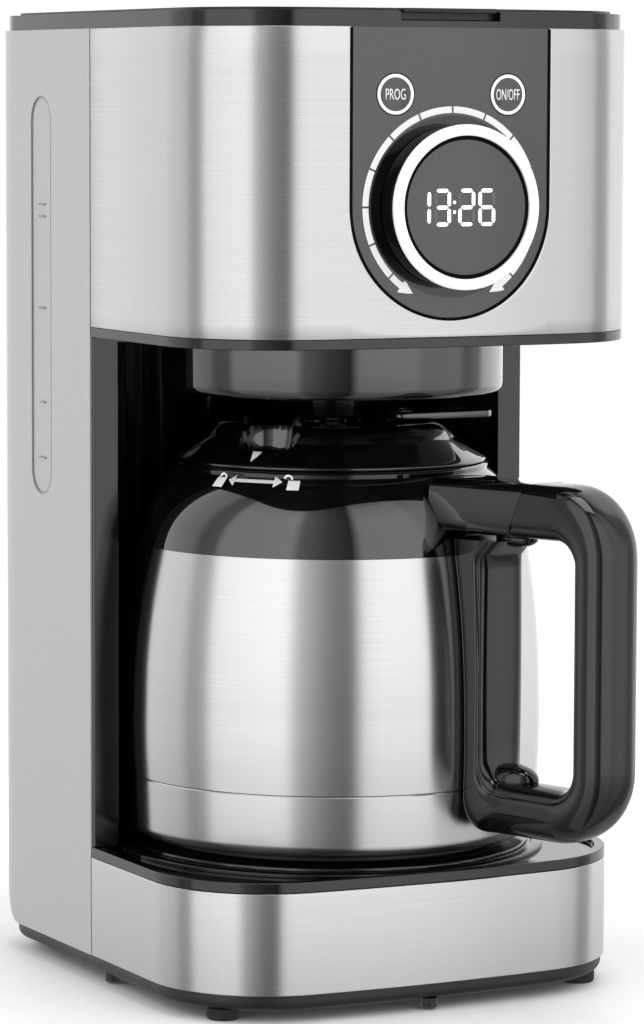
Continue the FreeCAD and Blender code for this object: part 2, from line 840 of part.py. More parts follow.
def make_water_path():
    """Cold hose, check valve, heater tube with its element, hot riser and shower head."""
    legs = [
        rod(f"heater_leg{n}", heater_radius, "y", jug_y, heater_end, (x, heater_z))
        for n, x in enumerate((-heater_bend, heater_bend))
    ]
    bores = [
        rod(f"heater_bore{n}", 5, "y", heater_end - 12, heater_end + 1, (x, heater_z))
        for n, x in enumerate((-heater_bend, heater_bend))
    ]
    bend = common(
        "heater_bend",
        torus("heater_torus", heater_bend, heater_radius, (0, jug_y, heater_z)),
        box("heater_half", (-70, 70), (jug_y - 70, jug_y), (heater_z - 20, heater_z + 20)),
    )
    piece("heater_tube", cut("heater_cut", fuse("heater_fuse", bend, *legs), *bores))

    over = heater_z + heater_radius + 3.5
    rods = [
        rod(f"element_leg{n}", 3.5, "y", jug_y, heater_end - 4, (x, over))
        for n, x in enumerate((-heater_bend, heater_bend))
    ]
    top_bend = common(
        "element_bend",
        torus("element_torus", heater_bend, 3.5, (0, jug_y, over)),
        box("element_half", (-70, 70), (jug_y - 70, jug_y), (over - 10, over + 10)),
    )
    piece("heating_element", fuse("element_fuse", top_bend, *rods))

    under = heater_z - heater_radius
    disc = rod("thermostat_disc", 8, "z", under - 3.4, under, (0, jug_y - heater_bend))
    piece("thermostat", disc)
    inside = heater_bend - heater_radius - 3
    fuses = [rod(f"fuse{n}", 2.5, "y", 30, 50, (x, heater_z)) for n, x in enumerate((-inside, inside))]
    piece("thermal_fuses", group("fuse_group", fuses))

    valve_end = heater_end + 14
    valve = rod("check_valve_barrel", 6.5, "y", heater_end, valve_end, (-heater_bend, heater_z))
    valve_bore = rod("check_valve_bore", 3.2, "y", heater_end - 1, valve_end + 1, (-heater_bend, heater_z))
    piece("check_valve", cut("check_valve_cut", valve, valve_bore))

    z = heater_z.value
    bend_x = heater_bend.value
    end = heater_end.value
    back = riser_y.value
    radius = hose_radius.value
    cold = [
        V(-bend_x, outlet_y.value, tank_low.value),
        V(-bend_x, outlet_y.value, z),
        V(-bend_x, end + 14, z),
    ]
    piece("cold_water_hose", feature("cold_hose", pipe_solid(cold, 14, radius, radius - 1.3)))
    hot = [
        V(bend_x, end, z),
        V(bend_x, back, z),
        V(0, back, z),
        V(0, back, 349.5),
        V(0, basket_y.value, 349.5),
        V(0, basket_y.value, 342.5),
    ]
    piece("hot_water_riser", feature("hot_riser", pipe_solid(hot, 6.5, 4, 2.8)))
    spray = [(4.2, 343.2), (6, 343.2), (6, 342.5), (18, 340), (18, 338), (0, 338), (0, 340.5), (4.2, 340.5)]
    piece("shower_head", turned("shower_body", spray, 0, basket_y))


# ---------------------------------------------------------------- base
def make_base():
    """Steel-fronted base: tray, steel band, bottom plate, feet, pegs and screws."""
    band = front_band("base_band", base_front, base_bow, 0, skin, steel_low, steel_top)
    piece("base_steel_band", band)

    end = seam - seam_gap
    slab = front_slab("tray_slab", base_front, base_bow, 0, end, steel_top + 0.1, tray_top)
    disc = rod("tray_disc", niche_radius + wall, "z", steel_top + 0.1, tray_top, (0, jug_y))
    well = rod("tray_well", niche_radius - 0.5, "z", tray_floor, tray_top + 1, (0, jug_y))
    ends = both_sides(screw_front)
    tall = (steel_low + 2, steel_top + 1)
    posts = [rod(f"tray_post{n}", 4.5, "z", *tall, spot) for n, spot in enumerate(ends)]
    bores = [rod(f"tray_bore{n}", 1.4, "z", steel_low, 24, spot) for n, spot in enumerate(ends)]
    skirt = front_band(
        "tray_skirt", base_front, base_bow, skin + 0.1, skin + 0.1 + wall, steel_low + 2, steel_top + 0.1
    )
    dish = front_slab("tray_dish", base_front, base_bow, 4, end + 5, tray_floor, tray_top + 1)
    tray = cut("tray_cut", fuse("tray_fuse", slab, disc, skirt, *posts), dish, well, *bores)
    piece("base_tray", tray)

    rest = [
        (0, tray_floor),
        (80, tray_floor),
        (80, tray_floor + 1.2),
        (79.2, tray_floor + 1.6),
        (75.6, tray_floor + 1.6),
        (75.6, tray_floor + 1),
        (74.2, tray_floor + 1),
        (74.2, rest_top - 0.4),
        (73.6, rest_top),
        (52, rest_top),
        (50, rest_top - 1),
        (0, rest_top - 1),
    ]
    piece("jug_rest", turned("jug_rest_body", rest, 0, jug_y))

    path = whole_path(base_front, base_bow, 1.2)
    blank = prism("base_plate_blank", path, plate_low, steel_low)
    upper = prism("base_plate_step", whole_path(base_front, base_bow, 3.4), steel_low, steel_low + 1.8)
    plate = rounded("base_plate_soft", blank, 3.6, lambda edge, middle: middle.z < plate_low.value + 0.1)
    vents = [box(f"vent{n}", (-30, 30), (-22 + 9 * n, -19 + 9 * n), (0, 14)) for n in range(5)]
    fixings = both_sides(screw_front) + both_sides(screw_rear)
    holes = [rod(f"screw_hole{n}", 2.6, "z", 0, 14, spot) for n, spot in enumerate(fixings)]
    piece("base_plate", cut("base_plate_cut", fuse("base_plate_fuse", plate, upper), *vents, *holes))

    feet = []
    for number, (x, y) in enumerate(both_sides(foot_front) + both_sides(foot_rear)):
        pad = [(0, 0), (5.6, 0), (6.35, 0.8), (6.35, plate_low), (0, plate_low)]
        feet.append(turned(f"foot{number}", pad, x, y))
    piece("feet", group("foot_group", feet))
    spots = [(0, peg_front_y)] + both_sides(peg_side)
    pegs = [rod(f"peg{n}", 3, "z", 1, plate_low, spot) for n, spot in enumerate(spots)]
    piece("locating_pegs", group("peg_group", pegs))
    screws = []
    for number, (x, y) in enumerate(fixings):
        head = [(0, 7), (2.5, 7), (2.5, 9), (1.4, 9), (1.4, 22), (0, 22)]
        screws.append(turned(f"base_screw{number}", head, x, y))
    piece("base_screws", group("base_screw_group", screws))


# ---------------------------------------------------------------- jug
def make_jug():
    """Insulated jug: steel base cup and shell, inner flask, foot ring and moulded collar."""
    low = rest_top + 0.2
    foot = [
        (46, low),
        (foot_radius - 1, low),
        (foot_radius, low + 1),
        (foot_radius, low + 3.4),
        (foot_radius - 3, low + 3.4),
        (foot_radius - 3, low + 5.5),
        (46, low + 5.5),
    ]
    piece("jug_foot_ring", turned("jug_foot_body", foot, 0, jug_y))

    cup_low = low + 3.5
    cup = [
        (foot_radius - 3, cup_low + skin),
        (foot_radius - 2.9, cup_low),
        (foot_radius + 1, cup_low, 13, True),
        (cup_radius - 0.6, cup_low + 12),
        (cup_radius, cup_top - 0.15),
        (cup_radius - skin, cup_top - 0.15),
        (cup_radius - 0.6 - skin, cup_low + 12, 13 - skin, False),
        (foot_radius + 1, cup_low + skin),
    ]
    piece("jug_base_cup", turned("jug_cup_body", cup, 0, jug_y))

    shell = [
        (cup_radius, cup_top + 0.15),
        (belly_radius, belly_z, 330, True),
        (shoulder_radius, shoulder_z),
        (shoulder_radius - skin, shoulder_z, 330 - skin, False),
        (belly_radius - skin, belly_z),
        (cup_radius - skin, cup_top + 0.15),
    ]
    piece("jug_outer_shell", turned("jug_shell_body", shell, 0, jug_y))

    flask = [
        (0, 66),
        (60, 66, 11, True),
        (71, 77),
        (71.5, 115, 120, True),
        (49.4, 170),
        (49.4, 184),
        (48.6, 184),
        (48.6, 169.6, 119.2, False),
        (70.7, 115),
        (70.2, 77, 10.2, False),
        (60, 66.8),
        (0, 66.8),
    ]
    piece("jug_flask", turned("jug_flask_body", flask, 0, jug_y))

    collar = [
        (shoulder_radius, shoulder_z + 0.1, 42, True),
        (collar_radius + 0.8, collar_top - 2.4),
        (collar_radius + 1.2, collar_top - 0.8),
        (collar_radius, collar_top),
        (neck_radius, collar_top),
        (neck_radius, 172),
        (56, 172, 40, False),
        (shoulder_radius - 3.5, shoulder_z + 0.1),
    ]
    dome = turned("collar_body", collar, 0, jug_y)
    piece("jug_collar", fuse("collar_fuse", dome, collar_arm()))


def handle_block(name, path, low, high):
    """An outline of radius and height, made as thick as the handle and turned to its direction."""
    body = doc.addObject("PartDesign::Body", name)
    outline = sketch_on(body, "XZ_Plane", path)
    pad = body.newObject("PartDesign::Pad", f"{name}_pad")
    pad.Profile = (outline, [""])
    pad.Midplane = True
    bind(pad, "Length", size(high) - low)
    turn = FreeCAD.Rotation(V(0, 0, 1), handle_angle.value)
    body.Placement = FreeCAD.Placement(V(), turn)
    return place(body, 0, jug_y, 0)


def long_edge(edge, middle):
    """True for the edges that run round the outline rather than across the handle."""
    across = V(-math.sin(math.radians(handle_angle.value)), math.cos(math.radians(handle_angle.value)), 0)
    side = (middle - V(0, jug_y.value, 0)).dot(across)
    return abs(abs(side) - handle_half.value) < 0.05


def jug_envelope(name, extra, top):
    """The space that the steel jug and its collar take, used to fit the handle to it."""
    path = [
        (0, 50),
        (cup_radius + extra, 50),
        (cup_radius + extra, cup_top),
        (belly_radius + extra, belly_z, 330, True),
        (shoulder_radius + extra, shoulder_z),
        (shoulder_radius + extra, top),
        (0, top),
    ]
    return turned(name, path, 0, jug_y)


def collar_arm():
    """The stub of the collar that the handle's upper end is screwed to."""
    path = [
        (62, hole_top),
        (handle_seam - 4, hole_top),
        (handle_seam + 5, handle_top),
        (62, handle_top),
    ]
    arm = handle_block("collar_arm", path, -handle_half, handle_half)
    soft = rounded("collar_arm_soft", arm, 5, lambda e, m: long_edge(e, m) and m.z > 190)
    neck = rod("collar_arm_trim", neck_radius + 4, "z", 150, 200, (0, jug_y))
    bore = handle_screw("collar_bore", 0.05)
    jug = jug_envelope("collar_arm_envelope", 0, shoulder_z + 0.1)
    return cut("collar_arm_cut", soft, neck, *bore, jug)


def make_handle():
    """Closed loop handle: grip, lower arm and the leg that lies along the jug."""
    corner = 26
    path = [
        (64, handle_low + 2),
        (70, handle_low),
        (grip_outer - corner, handle_low, corner, True),
        (grip_outer, handle_low + corner),
        (grip_outer, handle_top - corner, corner, True),
        (grip_outer - corner, handle_top),
        (handle_seam + 5.2, handle_top),
        (handle_seam - 3.8, hole_top - 0.1),
        (64, hole_top - 0.1),
    ]
    loop = handle_block("handle_loop", path, -handle_half, handle_half)
    inner = 8
    hole = [
        (handle_inner, hole_low + inner),
        (handle_inner, hole_top - inner),
        (handle_inner + inner, hole_top),
        (grip_inner - inner, hole_top, inner, False),
        (grip_inner, hole_top - inner),
        (grip_inner, hole_low + inner, inner, False),
        (grip_inner - inner, hole_low),
        (handle_inner + inner, hole_low, inner, False),
    ]
    gap_block = handle_block("finger_hole", hole, -handle_half - 2, handle_half + 2)
    ring = cut("handle_ring", loop, gap_block)

    def outer_run(edge, middle):
        return long_edge(edge, middle) and reach(middle) > handle_seam.value + 8

    soft = rounded("handle_soft", ring, 4.5, outer_run)
    fitted = cut("handle_fitted", soft, jug_envelope("handle_envelope", 0.05, hole_top))
    piece("jug_handle", cut("handle_cut", fitted, *handle_screw("handle_bore", 0.05)))
    piece("handle_screw", fuse("handle_screw_fuse", *handle_screw("handle_screw", 0)))


def handle_screw(name, extra):
    """Head and shank of the screw that goes up through the handle into the collar's stub."""
    turn = math.radians(handle_angle.value)
    spot = ((handle_seam - 1) * math.cos(turn), jug_y + (handle_seam - 1) * math.sin(turn))
    head = rod(f"{name}_head", 2.6 + extra, "z", hole_top - 0.2, hole_top + 1.8, spot)
    shank = rod(f"{name}_shank", 1.5 + extra, "z", hole_top + 1, hole_top + 14, spot)
    return [head, shank]


def reach(point):
    """Distance of a point from the jug's axis along the handle's direction."""
    turn = math.radians(handle_angle.value)
    return (point - V(0, jug_y.value, 0)).dot(V(math.cos(turn), math.sin(turn), 0))


def make_jug_lid():
    """Twist lid: cover with two finger scoops, plug, gasket and the valve the coffee runs through."""
    low = collar_top + gap
    cover = [
        (5, low),
        (collar_radius, low),
        (collar_radius + 0.4, low + 0.8),
        (collar_radius - 0.6, low + 1.8),
        (46.5, 203),
        (41, 207.4),
        (39.5, 207.9),
        (10, 207.9),
        (9, 206),
        (5, 206),
    ]
    dome = turned("lid_dome", cover, 0, jug_y)
    turn = math.radians(scoop_angle.value)
    scoops = []
    for number, side in enumerate((1, -1)):
        ball = doc.addObject("Part::Sphere", f"scoop{number}")
        ball.Radius = 17
        spot = (side * 42 * math.cos(turn), jug_y + side * 42 * math.sin(turn), 215)
        scoops.append(place(ball, *spot))
    piece("jug_lid_cover", cut("lid_cover_cut", dome, *scoops))
    plug = [
        (5, 178),
        (46, 178),
        (47.5, 180),
        (47.5, 183),
        (46.2, 183),
        (46.2, 186),
        (48.5, 186),
        (48.5, low),
        (5, low),
    ]
    piece("jug_lid_plug", turned("lid_plug_body", plug, 0, jug_y))
    gasket = [(46.2, 183.1), (48.2, 183.1), (48.3, 184.5), (48.2, 185.9), (46.2, 185.9)]
    piece("jug_lid_gasket", turned("lid_gasket_body", gasket, 0, jug_y))
    valve = [(0, 182), (4.6, 182), (4.6, 206.1), (7, 206.1), (6.5, 207), (0, 207.7)]
    piece("brew_valve", turned("brew_valve_body", valve, 0, jug_y))


make_rear_housing()
make_gauge()
make_bay_liner()
make_water_tank()
make_cable_gland()
make_head()
make_top()
make_dial()
make_buttons()
make_filter_housing()
make_filter_basket()
make_drip_stop()
make_water_path()
make_base()
make_jug()
make_handle()
make_jug_lid()
doc.recompute()


# ---------------------------------------------------------------- checks and export
for item in doc.Objects:
    if {"Invalid", "Error"} & set(item.State):
        raise SystemExit(f"{item.Name} failed: {item.State} {item.getStatusString()}")
os.makedirs("parts", exist_ok=True)
for name, item in sorted(pieces.items()):
    shape = item.Shape
    if shape.isNull() or not shape.isValid() or not shape.Solids:
        raise SystemExit(f"{name} has no valid solid")
    shape.exportStep(f"parts/{name}.step")
    limits = shape.BoundBox
    print(
        f"{name}: {len(shape.Solids)} solid(s), {shape.Volume / 1000:.1f} cm3,"
        f" y {limits.YMin:.1f} to {limits.YMax:.1f}, z {limits.ZMin:.1f} to {limits.ZMax:.1f}"
    )
print(len(pieces), "sub-parts")
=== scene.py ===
# %% [markdown]
# # A drip coffee maker, made to look real
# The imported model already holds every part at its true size. This script dresses it: it works out
# finely curved surfaces for what the eye sees first, gives every part a finish, prints the marks on
# the panel and the jug, and puts the machine on a pale table in soft light.
# All shapes below are written in millimetres and turned to metres in one place.

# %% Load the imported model
import math

import bmesh
import bpy
import numpy as np
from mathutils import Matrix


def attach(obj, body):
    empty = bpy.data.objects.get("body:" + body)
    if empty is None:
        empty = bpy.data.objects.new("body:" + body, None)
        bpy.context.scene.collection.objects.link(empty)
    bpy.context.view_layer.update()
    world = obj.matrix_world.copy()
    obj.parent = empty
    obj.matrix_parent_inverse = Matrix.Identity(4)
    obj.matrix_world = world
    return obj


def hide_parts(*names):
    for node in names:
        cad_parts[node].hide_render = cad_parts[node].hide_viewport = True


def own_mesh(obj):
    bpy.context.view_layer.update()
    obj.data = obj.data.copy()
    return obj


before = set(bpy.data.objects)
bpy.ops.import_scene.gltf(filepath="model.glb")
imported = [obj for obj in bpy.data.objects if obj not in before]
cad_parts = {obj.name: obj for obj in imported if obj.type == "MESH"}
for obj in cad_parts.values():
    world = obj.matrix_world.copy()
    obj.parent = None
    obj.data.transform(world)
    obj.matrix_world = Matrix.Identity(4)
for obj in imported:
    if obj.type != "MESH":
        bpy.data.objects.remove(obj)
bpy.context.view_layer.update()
MM = 0.001
print("parts in the packed model:", len(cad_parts))

# %% [markdown]
# ## How a surface gets into Blender
# Every new piece is a lattice of points: rows run one way over the surface and columns the other.
# The points come from a formula, worked out for the whole lattice at once, and every lattice has the
# same kind of faces. This beats pushing and pulling a cube: a formula can be read and changed.


# %% Lattices
def lattice(rows, columns, join_rows=False, join_columns=False, ends=False):
    """Four-sided faces of a lattice: point (i, j) has the number i * columns + j. Ends adds one face
    across the first row and one across the last."""
    i, j = np.meshgrid(
        np.arange(rows if join_rows else rows - 1),
        np.arange(columns if join_columns else columns - 1),
        indexing="ij",
    )
    following = (i + 1) % rows
    beside = (j + 1) % columns
    corners = [i * columns + j, i * columns + beside, following * columns + beside, following * columns + j]
    faces = np.stack(corners, axis=-1).reshape(-1, 4).tolist()
    if ends:
        faces.append(list(range(columns)))
        faces.append(list(range((rows - 1) * columns, rows * columns)))
    return faces


def upright(flat, height):
    """Points of a lattice from their places (x, y) in the plan and their heights."""
    flat = np.broadcast_to(flat, (*height.shape, 2))
    return np.concatenate([flat, height[..., None]], axis=-1).reshape(-1, 3)


def joined(*shapes):
    """Several (points, faces) shapes as one."""
    points = []
    faces = []
    for some_points, some_faces in shapes:
        start = sum(len(p) for p in points)
        points.append(np.asarray(some_points, float).reshape(-1, 3))
        faces += [[start + corner for corner in face] for face in some_faces]
    return np.concatenate(points), faces


print("a lattice of 3 rows and 4 columns has", len(lattice(3, 4)), "faces")


# %% [markdown]
# Points that two lattices share are merged, so that a piece is one closed skin, and its normals are
# worked out afresh to face outwards. Faces are shaded smooth, except along edges that turn by more
# than a set angle: that keeps a crease crisp without more faces.


# %% Make a piece
def finish_mesh(mesh, crease):
    """Merge shared points, turn the faces outwards and keep edges sharp that turn by more than crease."""
    work = bmesh.new()
    work.from_mesh(mesh)
    bmesh.ops.remove_doubles(work, verts=work.verts, dist=2e-6)
    bmesh.ops.dissolve_degenerate(work, edges=work.edges, dist=1e-6)
    bmesh.ops.recalc_face_normals(work, faces=work.faces)
    work.to_mesh(mesh)
    work.free()
    mesh.shade_smooth()
    mesh.set_sharp_from_angle(angle=math.radians(crease))


def into_scene(name, data):
    made = bpy.data.objects.new(name, data)
    bpy.context.scene.collection.objects.link(made)
    return made


def piece(name, shape, finish, body, stands_for=(), crease=32):
    """A new piece from a shape in millimetres, riding on a body of the machine."""
    points, faces = shape
    mesh = bpy.data.meshes.new(name)
    mesh.from_pydata((np.asarray(points) * MM).tolist(), [], faces)
    finish_mesh(mesh, crease)
    made = into_scene(name, mesh)
    made.data.materials.append(finish)
    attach(made, body)
    if stands_for:
        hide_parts(*stands_for)
    print(f"{name}: {len(mesh.polygons)} faces")
    return made


# %% [markdown]
# Two ways to make a lattice cover most of this machine. A turned piece spins an outline about an
# axis, like clay on a wheel. A banded piece carries a cross-section along the machine's plan, which
# is a chain of arcs with straight runs between them.


# %% Outlines, turned pieces and banded pieces
def eased(corners, steps=5):
    """An outline with its corners eased: each corner is (a, b, ease), and the curve is a parabola."""
    corners = np.array([(*corner, 0)[:3] for corner in corners], float)
    spots = corners[:, :2]
    before = np.roll(spots, 1, axis=0) - spots
    after = np.roll(spots, -1, axis=0) - spots
    t = np.linspace(0, 1, steps)[:, None]
    out = []
    for spot, back, ahead, ease in zip(spots, before, after, corners[:, 2]):
        if ease == 0:
            out.append(spot[None])
            continue
        reach_back = min(ease / np.linalg.norm(back), 0.49)
        reach_ahead = min(ease / np.linalg.norm(ahead), 0.49)
        start = spot + back * reach_back
        end = spot + ahead * reach_ahead
        out.append(start * (1 - t) ** 2 + 2 * spot * t * (1 - t) + end * t**2)
    return np.concatenate(out)


def bulge(start, end, radius, steps=14):
    """Points of the shallow arc from start to end that bulges to the right of the way along."""
    start = np.array(start, float)
    end = np.array(end, float)
    run = end - start
    length = np.linalg.norm(run)
    side = np.array([run[1], -run[0]]) / length
    centre = (start + end) / 2 - side * math.sqrt(radius**2 - length**2 / 4)
    first = start - centre
    last = end - centre
    low = math.atan2(first[1], first[0])
    turn = (math.atan2(last[1], last[0]) - low + math.pi) % (2 * math.pi) - math.pi
    angle = low + turn * np.linspace(0, 1, steps)
    return centre + radius * np.stack([np.cos(angle), np.sin(angle)], axis=1)


def turned(outline, centre, steps=180, forward=False):
    """Outline of (radius, height) spun once: x = r cos a, y = r sin a. Forward points the axis to -Y."""
    outline = np.asarray(outline, float)
    angle = np.linspace(0, 2 * math.pi, steps, endpoint=False)[:, None]
    across = centre[0] + outline[:, 0] * np.cos(angle)
    other = centre[1] + outline[:, 0] * np.sin(angle)
    along = np.broadcast_to(outline[:, 1], across.shape)
    stack = (across, -along, other) if forward else (across, other, along)
    points = np.stack(stack, axis=-1).reshape(-1, 3)
    return points, lattice(steps, len(outline), join_rows=True, join_columns=True)


def banded(way, section, closed=False):
    """Section of (outward, height) carried along a way: point = spot + outward * normal, at height."""
    spots, normals = way
    section = np.asarray(section, float)
    flat = spots[:, None, :] + normals[:, None, :] * section[None, :, :1]
    height = np.broadcast_to(section[None, :, 1], flat.shape[:2])
    faces = lattice(len(spots), len(section), join_rows=closed, join_columns=True, ends=not closed)
    return upright(flat, height), faces


# %% [markdown]
# ## The plan
# Seen from above, the head and the base are the same shape: flat sides, a gently bowed front, round
# front corners of 45 mm and tighter rear ones. Each is an arc that meets the next one smoothly, so
# the plan is written as a chain of arcs, with the outward normals that a wall thickness needs.

# %% The machine's plan
# Half the width, the front corner's radius, the back of the shell and the seam between its halves.
HALF = 90.9
FRONT_CORNER = 45.0
BACK = 128.85
SEAM = 28.55
# Where the front of the head and of the base is, and the radius of its bow.
HEAD = {"front": -81.55, "bow": 680.0}
BASE = {"front": -73.45, "bow": 585.0}


def arcs(chain):
    """Points and outward normals of a chain of arcs, each (x, y, radius, angles); 0 degrees is -Y."""
    spots = []
    normals = []
    for x, y, radius, angles in chain:
        normal = np.stack([np.sin(angles), -np.cos(angles)], axis=1)
        spots.append(np.array([x, y]) + radius * normal)
        normals.append(normal)
    return np.concatenate(spots), np.concatenate(normals)


def front_chain(front, bow, half=HALF, corner=FRONT_CORNER, marks=()):
    """Right corner, shallow bow and left corner. Marks are x values that the bow must pass through."""
    centre = front + bow
    corner_y = centre - math.sqrt((bow - corner) ** 2 - (half - corner) ** 2)
    join = math.atan2(half - corner, centre - corner_y)
    across = np.concatenate([np.linspace(bow * math.sin(join), -bow * math.sin(join), 25), marks])
    across = np.unique(np.round(across, 6))[::-1]
    side = np.linspace(math.pi / 2, join, 40)
    return [
        (half - corner, corner_y, corner, side),
        (0.0, centre, bow, np.arcsin(across / bow)),
        (corner - half, corner_y, corner, -side[::-1]),
    ]


def front_way(shape, end=SEAM - 0.4, marks=()):
    """The front half of the plan, from the right seam round to the left seam."""
    spots, normals = arcs(front_chain(**shape, marks=marks))
    spots = np.concatenate([[[HALF, end]], spots, [[-HALF, end]]])
    normals = np.concatenate([[[1, 0]], normals, [[-1, 0]]])
    return spots, normals


print("plan of the head has", len(front_way(HEAD)[0]), "points")

# %% [markdown]
# ## Finishes
# Each material starts from what the real one is. One function turns an sRGB hex colour into the
# linear numbers that the shader works in, and one adds a node with its settings and links.


# %% Colour and node helpers
def linear(code):
    """An sRGB hex colour as linear red, green, blue and alpha."""
    parts = np.array([int(code[k : k + 2], 16) for k in (0, 2, 4)]) / 255
    light = np.where(parts <= 0.04045, parts / 12.92, ((parts + 0.055) / 1.055) ** 2.4)
    return (*light.tolist(), 1.0)


def add(tree, kind, inputs=None, **settings):
    """Add a shader node. Settings are its own choices; inputs are numbers or other nodes' outputs."""
    made = tree.nodes.new(f"ShaderNode{kind}")
    for name, value in settings.items():
        setattr(made, name, value)
    for name, value in (inputs or {}).items():
        if isinstance(value, bpy.types.NodeSocket):
            tree.links.new(value, made.inputs[name])
        else:
            made.inputs[name].default_value = value
    return made


def new_finish(name, colour, roughness, metallic=0.0, ior=1.5):
    """A material with its shader, its even numbers set on the shader's own sockets."""
    made = bpy.data.materials.new(name)
    made.use_nodes = True
    tree = made.node_tree
    shader = tree.nodes["Principled BSDF"]
    shader.inputs["Base Color"].default_value = linear(colour)
    shader.inputs["Roughness"].default_value = roughness
    shader.inputs["Metallic"].default_value = metallic
    shader.inputs["IOR"].default_value = ior
    return made, tree, shader


def place(tree, scale):
    """Object coordinates stretched by one scale or by one for each axis, in cycles to the metre."""
    where = add(tree, "TexCoord")
    scale = np.broadcast_to(scale, 3).tolist()
    return add(tree, "Mapping", {"Vector": where.outputs["Object"], "Scale": scale}).outputs["Vector"]


def spread(tree, value, low, high):
    """Carry a pattern that runs from 0.3 to 0.7 over to a range from low to high."""
    settings = {"Value": value, "From Min": 0.3, "From Max": 0.7, "To Min": low, "To Max": high}
    return add(tree, "MapRange", settings).outputs["Result"]


def noise(tree, vector, detail=2.0, rough=0.5):
    made = add(tree, "TexNoise", {"Vector": vector, "Scale": 1.0, "Detail": detail, "Roughness": rough})
    return made.outputs["Fac"]


def uneven(tree, shader, scale, low, high, detail=2, rough=0.5):
    """Let the roughness wander between two values, in patches of a scale in cycles to the metre."""
    patches = noise(tree, place(tree, scale), detail, rough)
    tree.links.new(spread(tree, patches, low, high), shader.inputs["Roughness"])


def bump(tree, shader, height, depth, strength=1.0):
    """Raise the surface by a pattern; depth is the pattern's full height in millimetres."""
    made = add(tree, "Bump", {"Height": height, "Strength": strength, "Distance": depth * MM})
    tree.links.new(made.outputs["Normal"], shader.inputs["Normal"])


# %% [markdown]
# **Brushed stainless steel.** The sheet is rubbed one way with an abrasive belt, so it carries fine
# level scratches, all running round the machine. Light falls across them into upright streaks. The
# scratches are noise stretched 60 mm along the grain and 0.35 mm across it; real ones are finer
# than that, but would not show. The shader's own anisotropy smears the reflections up and down.


# %% Brushed steel
def brushed_steel(name, colour, roughness, grain=0.35, smear=0.75):
    made, tree, shader = new_finish(name, colour, roughness, metallic=1.0)
    length = 1 / 0.060
    scratches = noise(tree, place(tree, (length, length, 1000 / grain)), detail=3, rough=0.6)
    tree.links.new(spread(tree, scratches, roughness - 0.03, roughness + 0.03), shader.inputs["Roughness"])
    tone = add(tree, "MixRGB", {"Fac": scratches, "Color1": linear(colour)}, blend_type="MIX")
    tone.inputs["Color2"].default_value = tuple(0.95 * part for part in linear(colour)[:3]) + (1.0,)
    tree.links.new(tone.outputs["Color"], shader.inputs["Base Color"])
    shader.inputs["Anisotropic"].default_value = smear
    shader.inputs["Anisotropic Rotation"].default_value = 0.25
    grain_way = add(tree, "Tangent", direction_type="RADIAL", axis="Z")
    tree.links.new(grain_way.outputs["Tangent"], shader.inputs["Tangent"])
    bump(tree, shader, scratches, 0.003, 0.16)
    return made


BODY_STEEL = brushed_steel("brushed stainless sheet", "b2b3b4", 0.27)
JUG_STEEL = brushed_steel("satin stainless jug", "b8b9ba", 0.24, grain=0.3)
PLAIN_STEEL = brushed_steel("plain steel", "a9a8a6", 0.35, grain=0.6, smear=0.2)
print("steels:", BODY_STEEL.name, JUG_STEEL.name, PLAIN_STEEL.name)

# %% [markdown]
# ** Glossy black ABS** comes off a polished mould. It mirrors the room faintly, with the slight
# ripple of moulded plastic, and its shine wanders in soft patches all over. **Matt ABS** comes
# off an etched mould, so a grain of about 0.4 mm scatters the light.


# %% Moulded plastics
def glossy_plastic(name, colour, roughness=0.07, ripple=0.012, polish=0.0):
    made, tree, shader = new_finish(name, colour, roughness, ior=1.51)
    uneven(tree, shader, 45, roughness * 0.6, roughness * 1.6, detail=3, rough=0.55)
    shader.inputs["Coat Weight"].default_value = polish
    shader.inputs["Coat Roughness"].default_value = 0.03
    bump(tree, shader, noise(tree, place(tree, 70), detail=1), ripple, 0.5)
    return made


def grained_plastic(name, colour, roughness=0.5, grain=0.4, depth=0.02):
    made, tree, shader = new_finish(name, colour, roughness, ior=1.45)
    uneven(tree, shader, 25, roughness - 0.06, roughness + 0.08, detail=3)
    bump(tree, shader, noise(tree, place(tree, 1000 / grain)), depth, 0.4)
    return made


BLACK_GLOSS = glossy_plastic("polished black ABS", "070708", 0.05, polish=0.9)
FRAME_BLACK = glossy_plastic("moulded black ABS", "0a0a0b", 0.06)
LINER_BLACK = glossy_plastic("polished black liner", "08080a", 0.10)
MATT_BLACK = grained_plastic("etched black ABS", "0d0d0e", 0.45)
PANEL = glossy_plastic("smoked acrylic panel", "3a3c3d", 0.045, 0.004)
DISPLAY = glossy_plastic("smoked acrylic display", "37393a", 0.05, 0.004)
WHITE_GLOSS = glossy_plastic("white ABS trim", "f1f1ef", 0.14)
TANK_PLASTIC = grained_plastic("frosted polypropylene", "c9cdcf", 0.42)
SILICONE = grained_plastic("milky silicone", "d3d2cb", 0.6, 0.8)
LID_BLACK = grained_plastic("satin black lid", "0a0a0b", 0.34, 0.4, 0.01)
# A near-black with little shine: the panel's gasket, and also the painted shade in the joint round the
# display.
GASKET_AND_SHADE_BLACK = grained_plastic("black foam gasket and painted shade", "050505", 0.9)
GASKET_AND_SHADE_BLACK.node_tree.nodes["Principled BSDF"].inputs["Specular IOR Level"].default_value = 0.12
RUBBER = grained_plastic("black rubber", "0e0e0e", 0.7, 0.5, 0.03)

# %% [markdown]
# **Satin silver ABS** has mica flakes in the plastic: from far away it is an even light grey, and
# close up it glitters a little. A small part of the flakes' sparkle is metallic, so the colour stays
# pale in shade. **Clear pane**: frosted acrylic in front of the tank reads as the same pale grey.


